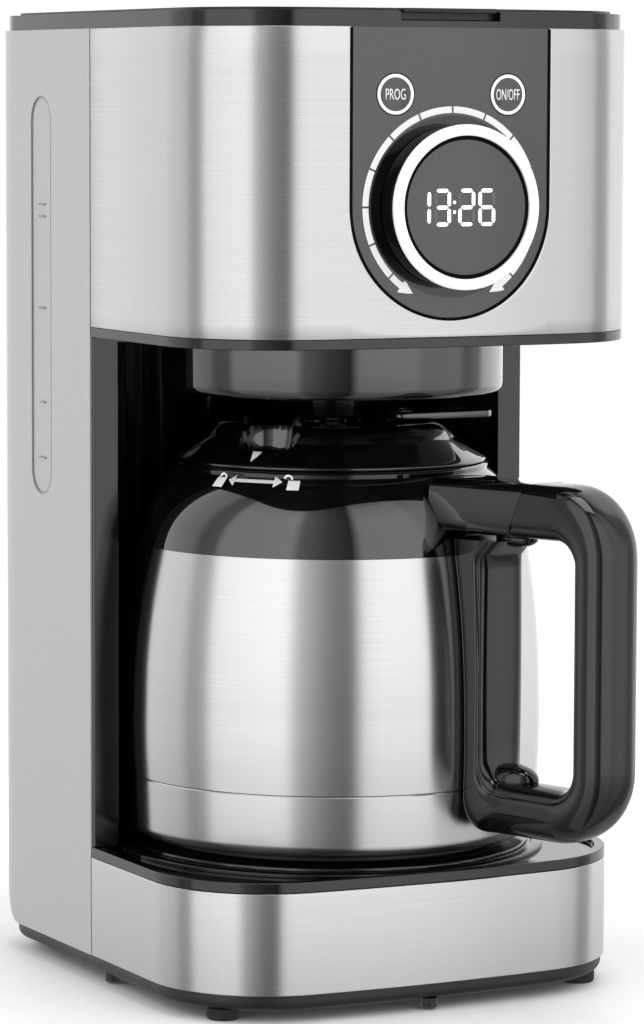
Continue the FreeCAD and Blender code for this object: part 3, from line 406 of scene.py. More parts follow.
# %% Silver shell and clear pane
def silver_plastic(name, colour, roughness=0.36):
    made, tree, shader = new_finish(name, colour, roughness, metallic=0.25)
    flakes = add(tree, "TexVoronoi", {"Vector": place(tree, 1400), "Scale": 1.0})
    flake = flakes.outputs["Distance"]
    tree.links.new(spread(tree, flake, roughness - 0.02, roughness + 0.02), shader.inputs["Roughness"])
    tone = add(tree, "MixRGB", {"Color1": linear(colour), "Color2": linear("d4d5d7")}, blend_type="MIX")
    tree.links.new(spread(tree, flake, 0.0, 0.16), tone.inputs["Fac"])
    tree.links.new(tone.outputs["Color"], shader.inputs["Base Color"])
    bump(tree, shader, flake, 0.002, 0.1)
    return made


SILVER = silver_plastic("satin silver ABS", "9fa0a2")


def clear_pane(name):
    made, tree, shader = new_finish(name, "aeb0b2", 0.22, ior=1.49)
    uneven(tree, shader, (90, 90, 30), 0.12, 0.24)
    shader.inputs["Alpha"].default_value = 0.82
    return made


PANE = clear_pane("smoke-clear acrylic")


def ink(name, colour, glow=0.0):
    """Screen-printed ink: a thin slightly rough coat. The display's segments also glow."""
    made, tree, shader = new_finish(name, colour, 0.4)
    uneven(tree, shader, 900, 0.32, 0.5)
    if glow:
        shader.inputs["Emission Color"].default_value = linear(colour)
        shader.inputs["Emission Strength"].default_value = glow
    return made


WHITE_INK = ink("white screen print", "ededeb")
LIT_SEGMENT = ink("lit white segment", "f4f7fa", 1.2)
# Grey for the gauge's printed marks, and for the painted shade line round its slot.
GREY_PRINT_AND_SHADE = ink("grey gauge print and painted shade", "77797b")
DIM_SEGMENT = ink("unlit segment", "505355")
BOARD_GREEN = ink("green circuit board", "1d5b33")


# %% [markdown]
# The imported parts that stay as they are, most of them inside, get their finish by name. The others
# are stood for by a new piece, which brings its own.

# %% Materials of the parts that keep their own shape
def dress(finish, *names):
    for name in names:
        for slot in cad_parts[name].material_slots:
            slot.material = finish


dress(MATT_BLACK, "cable_gland", "filter_basket", "drip_stop_plunger", "check_valve", "shower_head")
dress(MATT_BLACK, "button_switches", "display_connector", "thermal_fuses", "jug_lid_plug", "brew_valve")
dress(MATT_BLACK, "locating_pegs", "jug_foot_ring")
dress(SILICONE, "tank_outlet_seal", "drip_stop_seal", "cold_water_hose", "hot_water_riser", "jug_lid_gasket")
dress(PLAIN_STEEL, "hinge_pins", "heating_element", "thermostat", "base_screws", "heater_tube")
dress(PLAIN_STEEL, "handle_screw", "jug_flask")
dress(BOARD_GREEN, "control_board")
dress(TANK_PLASTIC, "water_tank")
dress(BLACK_GLOSS, "display_housing")
print("finishes made:", ", ".join(sorted(finish.name for finish in bpy.data.materials)))

# %% [markdown]
# ## Steel band round the head
# On the real machine this is one strip of 0.8 mm sheet, bent round the front and cut out for the
# panel. Here it is a sheet of two lattices: a lower one whose top edge dips into a half circle under
# the panel, and an upper one that stops at the panel's sides. Solidify gives it its thickness.

# %% Head band
SHEET = 0.8
DIAL_Z = 290.9
WINDOW = 39.85
BAND_LOW, BAND_HIGH = 244.8, 353.9


def head_band():
    """Lower lattice: height = low + t * (top - low), where the top edge dips by the square root of
    R^2 - x^2 under the panel. Upper lattices: plain sheets on both sides of the panel."""
    dip = WINDOW * np.cos(np.linspace(0, math.pi, 33))
    spots, _ = front_way(HEAD, marks=dip)
    x = spots[:, 0]
    front = spots[:, 1] < 0
    inside = front & (np.abs(x) <= WINDOW + 1e-4)
    drop = np.sqrt(np.clip(WINDOW**2 - x**2, 0, None))
    top = np.where(inside, DIAL_Z - drop, DIAL_Z)
    t = np.linspace(0, 1, 9)
    height = BAND_LOW + (top[:, None] - BAND_LOW) * t
    shapes = [(upright(spots[:, None, :], height), lattice(*height.shape))]
    edge = np.where(inside)[0]
    for run in (slice(0, edge[0] + 1), slice(edge[-1], None)):
        some = spots[run]
        height = np.broadcast_to(np.linspace(DIAL_Z, BAND_HIGH, 7), (len(some), 7))
        shapes.append((upright(some[:, None, :], height), lattice(*height.shape)))
    return joined(*shapes)


def ease_edges(made, width, segments, angle):
    """A small bevel on the edges that turn by more than an angle in degrees."""
    ease = made.modifiers.new("edge", "BEVEL")
    ease.width = width * MM
    ease.segments = segments
    ease.limit_method = "ANGLE"
    ease.angle_limit = math.radians(angle)
    return ease


def thicken(made, thickness):
    """Give a sheet its thickness inwards."""
    shell = made.modifiers.new("thickness", "SOLIDIFY")
    shell.thickness = thickness * MM
    shell.offset = -1
    return made


def face_out(made, centre):
    """Turn an open sheet so that it faces away from a point."""
    mesh = made.data
    where = np.array([p.center for p in mesh.polygons]) - np.array(centre) * MM
    normal = np.array([p.normal for p in mesh.polygons])
    if (where * normal).sum() < 0:
        mesh.flip_normals()
    return made


band = piece("head_band_sheet", head_band(), BODY_STEEL, "machine", ["head_steel_band"], 60)
thicken(face_out(band, (0, 0, 300)), SHEET)
ease_edges(band, 0.15, 2, 50)

# %% [markdown]
# The base has the same strip without a cut-out, so one section carried round the plan is enough.

# %% Base band
BASE_LOW, BASE_HIGH = 10.4, 47.3
band_section = eased([(-SHEET, BASE_LOW), (0, BASE_LOW, 0.3), (0, BASE_HIGH, 0.5), (-SHEET, BASE_HIGH)])
base_band = banded(front_way(BASE), band_section)
piece("base_band_sheet", base_band, BODY_STEEL, "machine", ["base_steel_band"])

# %% [markdown]
# ## The jug
# Body, cup and collar are all turned about one upright axis. The steel swells in a long shallow arc,
# meets the pressed cup in a fine groove near the bottom, and ends at the moulded shoulder.

# %% Jug shell and cup
# The jug's axis in the plan, the top and the radius of its base cup, then (radius, height) of the
# shell's widest place and of its top edge.
JUG = (0.0, 10.65)
CUP_TOP, CUP_R = 78.9, 77.9
BELLY = (78.3, 106.5)
SHOULDER = (73.1, 164.1)
belly_low = bulge((CUP_R, CUP_TOP + 0.2), BELLY, 330, 12)
belly_high = bulge(BELLY, SHOULDER, 330, 26)[1:]
belly = np.concatenate([belly_low, belly_high])
inner_wall = belly[::-1] - np.array([SHEET, 0])
lip = np.array([[CUP_R - 0.35, CUP_TOP + 0.05]])
shell = np.concatenate([belly, inner_wall, lip])
piece("jug_shell", turned(shell, JUG, 256), JUG_STEEL, "jug", ["jug_outer_shell"])

FOOT_LOW = 52.5
cup_low = FOOT_LOW + 3.5
cup_curve = bulge((73.5, cup_low), (CUP_R - 0.35, cup_low + 4.5), 4.8, 10)
cup_side = np.array([[CUP_R, CUP_TOP - 0.6], [CUP_R - 0.35, CUP_TOP - 0.1], [CUP_R - 0.8, CUP_TOP - 0.1]])
cup_in = cup_curve[::-1] + np.array([-0.75, 0.75])
cup = np.concatenate([cup_curve, cup_side, cup_in, [[63.0, cup_low + 0.8], [63.1, cup_low]]])
piece("jug_cup", turned(cup, JUG, 256), JUG_STEEL, "jug", ["jug_base_cup"])

# %% [markdown]
# The black shoulder screws on over the steel. It domes in to a small rolled lip that frames the lid.
# The stub that carries the handle grows out of it: a square-ish bar, carried from the seam inwards.


# %% Bars between two curves
# The handle aims 72 degrees from the right side to the front.
AIM = math.radians(-72)
OUT = np.array([math.cos(AIM), math.sin(AIM)])
SIDE = np.array([-math.sin(AIM), math.cos(AIM)])


def by_handle(radius, across, height):
    """Points from their distance from the jug's axis along the handle, across the handle, and up."""
    return upright(radius[..., None] * OUT + across[..., None] * SIDE + np.array(JUG), height)


def bar(inner, outer, half, power=3.0, count=48, groove=0.0):
    """A bar between two curves of (radius, height). Every cut through it is a superellipse:
    |x|^power + |y|^power = 1, round for a power of 2 and squarer as the power grows. A groove is a
    bell-shaped dip in both cheeks, where the bar's inner half is let in."""
    inner = np.asarray(inner, float)
    outer = np.asarray(outer, float)
    angle = np.linspace(0, 2 * math.pi, count, endpoint=False)
    power = np.broadcast_to(power, len(inner))[:, None]
    half = np.broadcast_to(half, len(inner))[:, None]
    along = np.sign(np.cos(angle)) * np.abs(np.cos(angle)) ** (2 / power)
    across = half * np.sign(np.sin(angle)) * np.abs(np.sin(angle)) ** (2 / power)
    across = across - np.sign(across) * groove * np.exp(-(((along + 0.6) / 0.07) ** 2))
    middle = (inner + outer) / 2
    reach = (outer - inner) / 2
    radius = middle[:, :1] + reach[:, :1] * along
    height = middle[:, 1:] + reach[:, 1:] * along
    return by_handle(radius, across, height), lattice(len(inner), count, join_columns=True, ends=True)


def run(start, end, steps):
    """Points of a straight run, its end left out."""
    t = np.linspace(0, 1, steps, endpoint=False)[:, None]
    return np.array(start) * (1 - t) + np.array(end) * t


def quarter(centre, radius, start, steps):
    """Points of a quarter turn clockwise from a start angle in degrees, its end left out."""
    angle = np.radians(start) - np.linspace(0, math.pi / 2, steps, endpoint=False)
    return np.array(centre) + radius * np.stack([np.cos(angle), np.sin(angle)], axis=1)


# %% [markdown]
# **Collar.** The dome is one arc from the steel to the lip; the stub for the handle is a bar.

# %% Collar
COLLAR_TOP = 194.2
dome = bulge((SHOULDER[0], SHOULDER[1] + 0.15), (58.3, 191.8), 42, 30)
rim = eased([(58.7, 193.2, 0.4), (57.6, COLLAR_TOP, 0.6), (50, COLLAR_TOP, 0.5), (50, 172), (56, 172)])
collar = np.concatenate([dome, rim[2:], [[69.6, SHOULDER[1] + 0.15]]])
ARM_LOW, ARM_HIGH = 172.5, 192.5
arm_in = run((98.9, ARM_LOW), (60, ARM_LOW), 12)
arm_out = run((107.9, ARM_HIGH), (60, ARM_HIGH), 12)
arm_half = np.linspace(12, 14.5, 12)
arm = bar(arm_in, arm_out, arm_half, 5.0)
collar_shape = joined(turned(collar, JUG, 256), arm)
piece("collar_shell", collar_shape, BLACK_GLOSS, "jug", ["jug_collar"])

# %% [markdown]
# **Handle.** A closed loop for four fingers. Two curves in the plane of the handle give it its shape:
# the finger hole and the outer edge. A bar is carried between them all the way round, from the seam
# on the upper arm, down the grip, along the bottom and up the leg that lies on the steel.


# %% Handle
def jug_radius(height):
    """Radius of the jug's steel at a height, from the same arcs as its shell."""
    wall = np.concatenate([cup_curve, cup_side[:1], belly])
    return np.interp(height, wall[:, 1], wall[:, 0])


# Distances from the jug's axis of the grip's two faces, then the heights of the loop and of its hole.
grip_in, grip_out = 127.8, 145.4
top, floor, hole_top, hole_floor = ARM_HIGH, 63.8, ARM_LOW, 83.2
leg_z = np.linspace(72, 164, 15)
leg_out = np.stack([jug_radius(leg_z) - 1.0, leg_z], axis=1)
turn_t = np.linspace(0, 1, 9, endpoint=False)[:, None]
foot_start = np.array([86.0, floor])
foot_bend = np.array([jug_radius(65.0) + 1.0, floor])
foot_out = foot_start * (1 - turn_t) ** 2 + 2 * foot_bend * turn_t * (1 - turn_t) + leg_out[:1] * turn_t**2
# The hole's corners turn with 8 mm, the outer ones with 26 and 27 mm.
hole_side = np.concatenate([
    run((99.1, hole_top), (grip_in - 8, hole_top), 6),
    quarter((grip_in - 8, hole_top - 8), 8, 90, 14),
    run((grip_in, hole_top - 8), (grip_in, hole_floor + 8), 14),
    quarter((grip_in - 8, hole_floor + 8), 8, 0, 14),
    run((grip_in - 8, hole_floor), (96, hole_floor), 8),
    quarter((96, hole_floor + 8), 8, -90, 9),
    run((88, hole_floor + 8), (88, 164.5), 15),
    run((88, 164.5), (96, 172.4), 5),
])
outer_side = np.concatenate([
    run((108.1, top), (grip_out - 26, top), 6),
    quarter((grip_out - 26, top - 26), 26, 90, 14),
    run((grip_out, top - 26), (grip_out, floor + 27), 14),
    quarter((grip_out - 27, floor + 27), 27, 0, 14),
    run((grip_out - 27, floor), foot_start, 8),
    foot_out,
    leg_out,
    run(leg_out[-1], (71.0, 172.4), 5),
])
square = np.concatenate([np.linspace(4.2, 2.5, 20), np.full(36, 2.5), np.linspace(3.0, 5.0, 29)])
loop = bar(hole_side, outer_side, 12.0, square, count=144, groove=0.7)


def knob(centre, radii, steps=40):
    """An ellipsoid boss: x = a cos u cos v, y = b cos u sin v, z = c sin u, in the handle's own plane."""
    u = np.linspace(-math.pi / 2, math.pi / 2, steps // 2)[:, None]
    v = np.linspace(0, 2 * math.pi, steps, endpoint=False)
    radius = centre[0] + radii[0] * np.cos(u) * np.cos(v)
    across = radii[1] * np.cos(u) * np.sin(v)
    height = np.broadcast_to(centre[1] + radii[2] * np.sin(u), radius.shape)
    return by_handle(radius, across, height), lattice(steps // 2, steps, join_columns=True)


bosses = [knob((93, 84), (11, 7, 5.5)), knob((94, 171.5), (9, 5.5, 3.2))]
piece("handle_loop", joined(loop, *bosses), FRAME_BLACK, "jug", ["jug_handle"], 50)

# %% [markdown]
# **Lid of the jug.** A shallow cone with a fine brim and two finger scoops. Each scoop is a dish with
# a steep round wall: where the dish is lower than the cone, the lid follows the dish.

# %% Jug lid
LID_LOW = COLLAR_TOP + 0.3
LID_HIGH = 209.0
brim = eased([(57.4, LID_LOW, 0.3), (57.9, LID_LOW + 0.8, 0.4), (56.9, LID_LOW + 1.8, 0.5)])
cone = run((56.4, LID_LOW + 1.9), (46.5, 203.4), 20)
crown = bulge((46.5, 203.4), (38.5, LID_HIGH), 11, 20)
flat_top = run((38.2, LID_HIGH), (10.5, LID_HIGH), 60)
well = eased([(9.4, LID_HIGH - 0.2, 0.5), (9, 206, 0.4), (5, 206), (5, LID_LOW)])
profile = np.concatenate([brim, cone, crown, flat_top, well])
lid_points, lid_faces = turned(profile, JUG, 440)
scoop_aim = math.radians(-149)
scoop_out, scoop_r, scoop_wall, scoop_low = 45, 10.6, 3.2, 198.2
for side in (1, -1):
    scoop = np.array(JUG) + side * scoop_out * np.array([math.cos(scoop_aim), math.sin(scoop_aim)])
    apart = np.linalg.norm(lid_points[:, :2] - scoop, axis=1)
    wall = np.clip((apart - scoop_r) / scoop_wall, 0, 1)
    dish = scoop_low + 0.012 * apart**2 + (LID_HIGH - 199.0) * wall**2 * (3 - 2 * wall)
    sink = lid_points[:, 2] - dish
    soft = (sink + np.sqrt(sink**2 + 0.25**2)) / 2
    near = (apart < scoop_r + scoop_wall) & (lid_points[:, 2] > LID_LOW + 2.4)
    lid_points[:, 2] -= np.where(near, soft, 0)
lid_shape = (lid_points, lid_faces)
piece("jug_lid_dome", lid_shape, BLACK_GLOSS, "jug_lid", ["jug_lid_cover"], 40)


# %% [markdown]
# ## Filter holder
# A round black cup hangs under the head, level with the jug's rim, and opens above into a wider mouth
# for the basket. The cup is turned about the jug's axis; the mouth's plan is again a chain of arcs.


# %% Filter holder
def holder_way():
    """Right round the mouth: a bowed front, corners of 22 mm, and a back bent round the tank."""
    back_angle = math.asin(67 / 78)
    back_y = 48.65 - 78 * math.cos(back_angle)
    sweep = np.linspace(back_angle - math.pi, -back_angle - math.pi, 40)
    front = front_chain(-8.35, 300.0, half=67.0, corner=22.0)
    return arcs(front + [(0.0, back_y, 78.0, sweep)])


MOUTH_LOW, MOUTH_HIGH, HOLDER_WALL = 238, 342, 2.2
HOLDER_R, HOLDER_LOW, HOLDER_HIGH = 63.8, 220.4, 240
mouth = eased([
    (-1, MOUTH_LOW), (0, MOUTH_LOW), (0, MOUTH_HIGH, 0.4),
    (-HOLDER_WALL, MOUTH_HIGH, 0.4), (-HOLDER_WALL, MOUTH_LOW),
])
mouth_points, mouth_faces = banded(holder_way(), mouth, closed=True)
cup_out = eased([(20, 220.6), (HOLDER_R, HOLDER_LOW, 3.5), (HOLDER_R, HOLDER_HIGH)])
inside = HOLDER_R - HOLDER_WALL
cup_in = eased([(inside, HOLDER_HIGH), (inside, 223, 2.5), (20, 223)])
drum_cup = turned(np.concatenate([cup_out, cup_in]), JUG, 256)
neck = turned(eased([(8, 210.4), (11, 210.4, 1), (12.5, 222), (8, 222)]), JUG, 96)
piece("filter_holder_cup", joined(drum_cup, (mouth_points, mouth_faces)), BLACK_GLOSS, "machine",
      ["filter_housing"], 40)
piece("filter_holder_neck", neck, LINER_BLACK, "machine")

# %% [markdown]
# The tongue of the drip stop's guide shows below the holder: a flat blade with a round end. Its
# outline is given as corners to ease, and an eased edge runs round it top and bottom.

# %% Guide blade
outline = eased([(60.5, 24), (60.5, -9.5, 9), (17.5, -9.5, 3.5), (17.5, 1.5, 5), (30, 10, 6), (30, 24)])
middle = outline.mean(axis=0)
levels = [(0.8, 209.7), (0.25, 209.8), (0.0, 210.2), (0.0, 211.6), (0.25, 212.0), (0.8, 212.1)]
rings = []
half_width = 22
for inset, height in levels:
    ring_spots = middle + (outline - middle) * (1 - inset / half_width)
    rings.append(np.concatenate([ring_spots, np.full((len(outline), 1), height)], axis=1))
blade_faces = lattice(len(levels), len(outline), join_columns=True, ends=True)
blade = (np.concatenate(rings), blade_faces)
piece("guide_blade", blade, BLACK_GLOSS, "machine")

# %% [markdown]
# ## Dial
# A black ring turns round a fixed display. A white ring caps it. Both are turned about an axis that
# points out of the front.

# %% Dial
# How far the head's face and the dial's cap are in front of the middle, and the dial's middle.
FACE = 81.55
REACH = FACE + 11.5
SPOT = (0.0, DIAL_Z)
BORE = 25.2
skirt = eased([(BORE, FACE + 0.3), (28.5, FACE + 0.3, 0.3), (28.9, REACH - 2.1), (BORE, REACH - 2.1)])
dial_side = turned(skirt, SPOT, 220, forward=True)
piece("dial_side", dial_side, FRAME_BLACK, "dial", ["dial_ring"])
trim = eased([(BORE, REACH - 2), (29.1, REACH - 2, 0.3), (29.1, REACH, 1.1), (BORE, REACH, 0.5)])
white_ring = turned(trim, SPOT, 220, forward=True)
piece("dial_white_ring", white_ring, WHITE_GLOSS, "dial", ["dial_trim_ring"])
pane = eased([(0, REACH - 2.6), (24.9, REACH - 2.6), (24.9, REACH - 1.2, 0.5), (0, REACH - 1.2)])
display_face = turned(pane, SPOT, 160, forward=True)
piece("display_face", display_face, DISPLAY, "machine", ["display_window"])

# %% [markdown]
# ## Prints
# Ink is a skin 0.06 mm thick. A flat drawing is a lattice of (across, up) numbers; a second function
# bends it on to the surface that carries it: the bowed panel, the dial's flat face, or the jug.


# %% Ink on a surface
def on_panel(across, up, lift):
    bow = HEAD["bow"] - 0.2
    centre = HEAD["front"] + HEAD["bow"]
    return np.stack([across, centre - np.sqrt((bow + lift) ** 2 - across**2), up], axis=-1)


def on_display(across, up, lift):
    return np.stack([across, np.full(np.shape(across), -(REACH - 1.2) - lift), up + DIAL_Z], axis=-1)


def on_turned(outline):
    """A place on a turned surface: across is the angle in degrees, up is the height."""
    order = np.argsort(outline[:, 1])

    def spot(across, up, lift):
        radius = np.interp(up, outline[order, 1], outline[order, 0]) + lift
        angle = np.radians(across)
        return np.stack([JUG[0] + radius * np.cos(angle), JUG[1] + radius * np.sin(angle), up], axis=-1)

    return spot


def inked(patches, carrier, thick=0.06):
    """Closed thin pads: each patch is a lattice of (across, up), laid on its carrier and given depth."""
    shapes = []
    for patch in patches:
        patch = np.asarray(patch, float)
        rows, columns = patch.shape[:2]
        front = carrier(patch[..., 0], patch[..., 1], thick).reshape(-1, 3)
        back = carrier(patch[..., 0], patch[..., 1], -thick).reshape(-1, 3)
        count = rows * columns
        faces = lattice(rows, columns)
        faces += [[count + corner for corner in face[::-1]] for face in lattice(rows, columns)]
        grid = np.arange(count).reshape(rows, columns)
        rim = np.concatenate([grid[0, :-1], grid[:-1, -1], grid[-1, :0:-1], grid[:0:-1, 0]])
        beside = np.roll(rim, -1)
        faces += np.stack([beside, rim, rim + count, beside + count], axis=1).tolist()
        shapes.append((np.concatenate([front, back]), faces))
    return joined(*shapes)


def arc_patch(centre, inner, outer, start, end, steps=12):
    """A piece of a ring, between two radii and two angles in degrees."""
    angle = np.radians(np.linspace(start, end, steps))[:, None]
    radius = np.stack([np.broadcast_to(inner, steps), np.broadcast_to(outer, steps)], axis=1)
    return np.stack([centre[0] + radius * np.cos(angle), centre[1] + radius * np.sin(angle)], axis=-1)


def full_ring(centre, inner, outer, steps):
    """A whole ring, as four quarter pieces."""
    return [arc_patch(centre, inner, outer, start, start + 90, steps) for start in (0, 90, 180, 270)]


def box_patch(left, right, low, high, steps=8):
    """A rectangle from left to right and low to high, split into steps so that it can bend."""
    return np.stack(np.meshgrid(np.linspace(left, right, steps), np.linspace(low, high, steps)), axis=-1)


def printed(name, patches, carrier, finish, body="machine", thick=0.06):
    """Pads of ink, or of another thin layer, as one piece."""
    return piece(name, inked(patches, carrier, thick), finish, body, crease=60)


# %% [markdown]
# The scale is twelve equal ring pieces with small gaps and an arrowhead at each end.

# %% Scale round the dial
SCALE_IN, SCALE_OUT = 33.0, 35.3
scale = []
for number in range(12):
    start = -45 + 22.5 * number
    scale.append(arc_patch(SPOT, SCALE_IN, SCALE_OUT, start + 0.6, start + 21.9))
for sign in (1, -1):
    angles = 90 + sign * (135 + np.array([0.6, 9.0]))
    scale.append(arc_patch(SPOT, SCALE_IN, SCALE_OUT, *angles, 8))
    taper = 2.7 * np.linspace(1, 0.02, 6)
    middle = (SCALE_IN + SCALE_OUT) / 2
    scale.append(arc_patch(SPOT, middle - taper, middle + taper, angles[1], angles[1] + sign * 9, 6))
printed("dial_scale_print", scale, on_panel, WHITE_INK)

# %% [markdown]
# The panel is let into the steel in a black gasket about a millimetre wide.

# %% Gasket round the panel
GASKET_IN, GASKET_OUT = 39.25, 40.35
gasket = [arc_patch(SPOT, GASKET_IN, GASKET_OUT, 180, 360, 72)]
for sign in (1, -1):
    gasket.append(box_patch(sign * GASKET_IN, sign * GASKET_OUT, DIAL_Z, BAND_HIGH - 0.3))
printed("panel_gasket", gasket, on_panel, GASKET_AND_SHADE_BLACK, thick=0.3)

# %% [markdown]
# Round the dial a flat ring of polished black lies on the panel: painted shade and a painted dark
# reflection where the dial's side shades the panel, so the dial seems to float.

# %% Painted shade round the dial
# A flat black ring on the panel: painted shade and painted dark reflection round the dial.
dial_shade_ring = full_ring(SPOT, 25.4, 32.1, 30)
printed("dial_painted_shade", dial_shade_ring, on_panel, FRAME_BLACK, thick=0.12)

# The display sits a little below the white ring; a black ring printed on the display's edge is painted
# shade, where the proud white ring shades it.
# Painted shade: a black ring where the white ring shades the display.
display_shade_ring = full_ring((0, 0), 23.7, 25.1, 30)
printed("display_painted_shade", display_shade_ring, on_display, GASKET_AND_SHADE_BLACK)

# %% [markdown]
# Each button is marked by a white ring, printed on the button itself, so it goes in with it.

# %% Rings on the buttons
BUTTON_Z = 330.4
BUTTONS = {"prog_button": (-22.6, "PROG", 7.8), "power_button": (22.6, "ON/OFF", 9.6)}
for button, (x, word, width) in BUTTONS.items():
    printed(f"{button}_ring_print", full_ring((x, BUTTON_Z), 5.95, 7.1, 16), on_panel, WHITE_INK, button)

# %% [markdown]
# The two words are set in Blender's own plain typeface, narrowed, filled, and made a mesh. Each point
# is then laid on the bowed panel by the same function as the other prints.


# %% Words on the buttons
def word_print(name, word, centre, width, height, body):
    """A word stretched to a width and a height about a centre, laid on the panel."""
    letters = bpy.data.curves.new(name, "FONT")
    letters.body = word
    letters.resolution_u = 4
    carrier = into_scene(name, letters)
    bpy.context.view_layer.update()
    flat = bpy.data.meshes.new_from_object(carrier)
    bpy.data.objects.remove(carrier)
    spots = np.empty(len(flat.vertices) * 3)
    flat.vertices.foreach_get("co", spots)
    spots = spots.reshape(-1, 3)[:, :2]
    low = spots.min(axis=0)
    size = spots.max(axis=0) - low
    spots = (spots - low) / size - 0.5
    across = centre[0] + spots[:, 0] * width
    up = centre[1] + spots[:, 1] * height
    front = on_panel(across, up, 0.06)
    faces = [list(p.vertices) for p in flat.polygons]
    made = piece(name, (front, faces), WHITE_INK, body, crease=60)
    return thicken(face_out(made, (0, 0, BUTTON_Z)), 0.1)


for button, (x, word, width) in BUTTONS.items():
    word_print(f"{button}_word", word, (x, BUTTON_Z), width, 3.9, button)

# %% [markdown]
# The clock has seven-segment digits. The segments that are off show as a shade in the smoked pane.

# %% Clock digits
SEGMENTS = {
    "a": ((-1, 2), (1, 2)), "b": ((1, 2), (1, 0)), "c": ((1, 0), (1, -2)), "d": ((-1, -2), (1, -2)),
    "e": ((-1, 0), (-1, -2)), "f": ((-1, 2), (-1, 0)), "g": ((-1, 0), (1, 0)),
}
DIGITS = {"1": "bc", "3": "abcdg", "2": "abdeg", "6": "acdefg"}


def stroke(start, end, thick):
    """A segment of a digit: a bar with blunt pointed ends, as a lattice of five stations."""
    start = np.array(start, float)
    end = np.array(end, float)
    ahead = (end - start) / np.linalg.norm(end - start)
    side = np.array([-ahead[1], ahead[0]]) * thick / 2
    length = np.linalg.norm(end - start)
    stations = np.array([0.45, 0.45 + thick / 2, length - 0.45 - thick / 2, length - 0.45])
    width = np.array([0.25, 1.0, 1.0, 0.25])[:, None]
    middle = start + stations[:, None] * ahead
    return np.stack([middle - side * width, middle + side * width], axis=1)


lit = []
unlit = []
for sign, middle in (("1", -17.6), ("3", -9.6), ("2", 0.1), ("6", 8.2)):
    for letter, ends in SEGMENTS.items():
        begin, stop = (np.array(end) * (2.7, 2.95) + (middle, 0) for end in ends)
        if letter in DIGITS[sign]:
            lit.append(stroke(begin, stop, 1.3))
        elif sign != "1":
            unlit.append(stroke(begin, stop, 1.3))
for up in (-1.6, 1.8):
    lit.append(box_patch(-5.3, -4.3, up - 0.5, up + 0.5))
printed("clock_digits", lit, on_display, LIT_SEGMENT)
printed("clock_segments_off", unlit, on_display, DIM_SEGMENT)

# %% [markdown]
# The jug's marks show how to lock its lid: two padlocks, one open, with an arrow both ways between
# them, and a small pointer on the lid. Angles are read round the jug's axis.

# %% Jug marks
# Millimetres round the collar to one degree, and the height of the row of marks.
DEGREE = 59.3 * math.pi / 180
MARKS_Z = 190.6


def spot_at(angle, height):
    """Turn a drawing in millimetres into angles and heights about a point on the collar."""
    return lambda patch: np.asarray(patch, float) * (1 / DEGREE, 1) + (angle, height)


def tapered(along, half):
    """A patch along a line: across the place at each station, from minus to plus a half width."""
    half = np.broadcast_to(half, np.shape(along))
    return np.stack([np.stack([along, -half], axis=-1), np.stack([along, half], axis=-1)], axis=1)


closed_lock = spot_at(-159.5, MARKS_Z)
open_lock = spot_at(-130.5, MARKS_Z)
arrow = spot_at(-145.4, MARKS_Z)
body_patch = box_patch(-2.2, 2.2, -2.6, 0.6)
bow_patch = arc_patch((0, 0.5), 1.1, 1.8, 0, 180, 12)
marks = [closed_lock(body_patch), closed_lock(bow_patch), open_lock(body_patch)]
marks.append(open_lock(arc_patch((-2.4, 0.9), 1.1, 1.8, 0, 170, 12)))
marks.append(arrow(tapered(np.linspace(-8.2, 8.2, 12), 0.55)))
for sign in (1, -1):
    marks.append(arrow(tapered(sign * np.linspace(8, 11, 5), np.linspace(1.9, 0.05, 5))))
on_collar = on_turned(np.concatenate([dome, [[58.75, 193.3]]]))
printed("collar_marks", marks, on_collar, WHITE_INK, "jug")
pointer_spot = spot_at(-149.5, 199.0)
pointer = tapered(np.linspace(-1.9, 1.5, 5), np.linspace(0.05, 2.35, 5))[..., ::-1]
printed("lid_pointer", [pointer_spot(pointer)], on_turned(cone), WHITE_INK, "jug_lid")


# %% [markdown]
# The water gauge is a slot in the left side. A grey line round its edge is painted shade at the
# slot's rim, and five faint printed marks show how many cups are in the tank.

# %% Gauge's painted shade line and printed marks
def on_side(across, up, lift):
    """Across is the depth; the slot's face lies 0.18 mm inside the shell's flat side."""
    return np.stack([np.full(np.shape(across), 0.18 - HALF) - lift, across, up], axis=-1)


gauge_y, gauge_low, gauge_high, gauge_r = 73.75, 188.7, 320.0, 9.1
ring_in, ring_out = gauge_r - 0.3, gauge_r + 0.3
# A grey ring round the slot's edge: painted shade at the recess.
gauge = [
    arc_patch((gauge_y, gauge_high), ring_in, ring_out, 0, 180, 24),
    arc_patch((gauge_y, gauge_low), ring_in, ring_out, 180, 360, 24),
]
for sign in (1, -1):
    gauge.append(box_patch(gauge_y + sign * ring_in, gauge_y + sign * ring_out, gauge_low, gauge_high))
printed("gauge_painted_shade_line", gauge, on_side, GREY_PRINT_AND_SHADE, thick=0.22)
cup_marks = []
for height, length in ((288.5, 6.0), (284.0, 6.0), (249.5, 6.0), (214.0, 4.0), (193.0, 6.0)):
    cup_marks.append(box_patch(70.5, 70.5 + length, height, height + 0.6))
printed("gauge_marks", cup_marks, on_side, GREY_PRINT_AND_SHADE, thick=0.22)

# %% [markdown]
# ## Parts that keep their own shape, refined
# Frames, covers and the tray have many cut-outs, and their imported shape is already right. A copy of
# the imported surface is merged, its flat areas are joined, and its edges are eased by a bevel, because
# no moulded edge is truly sharp: it is the eased edge that catches the light.


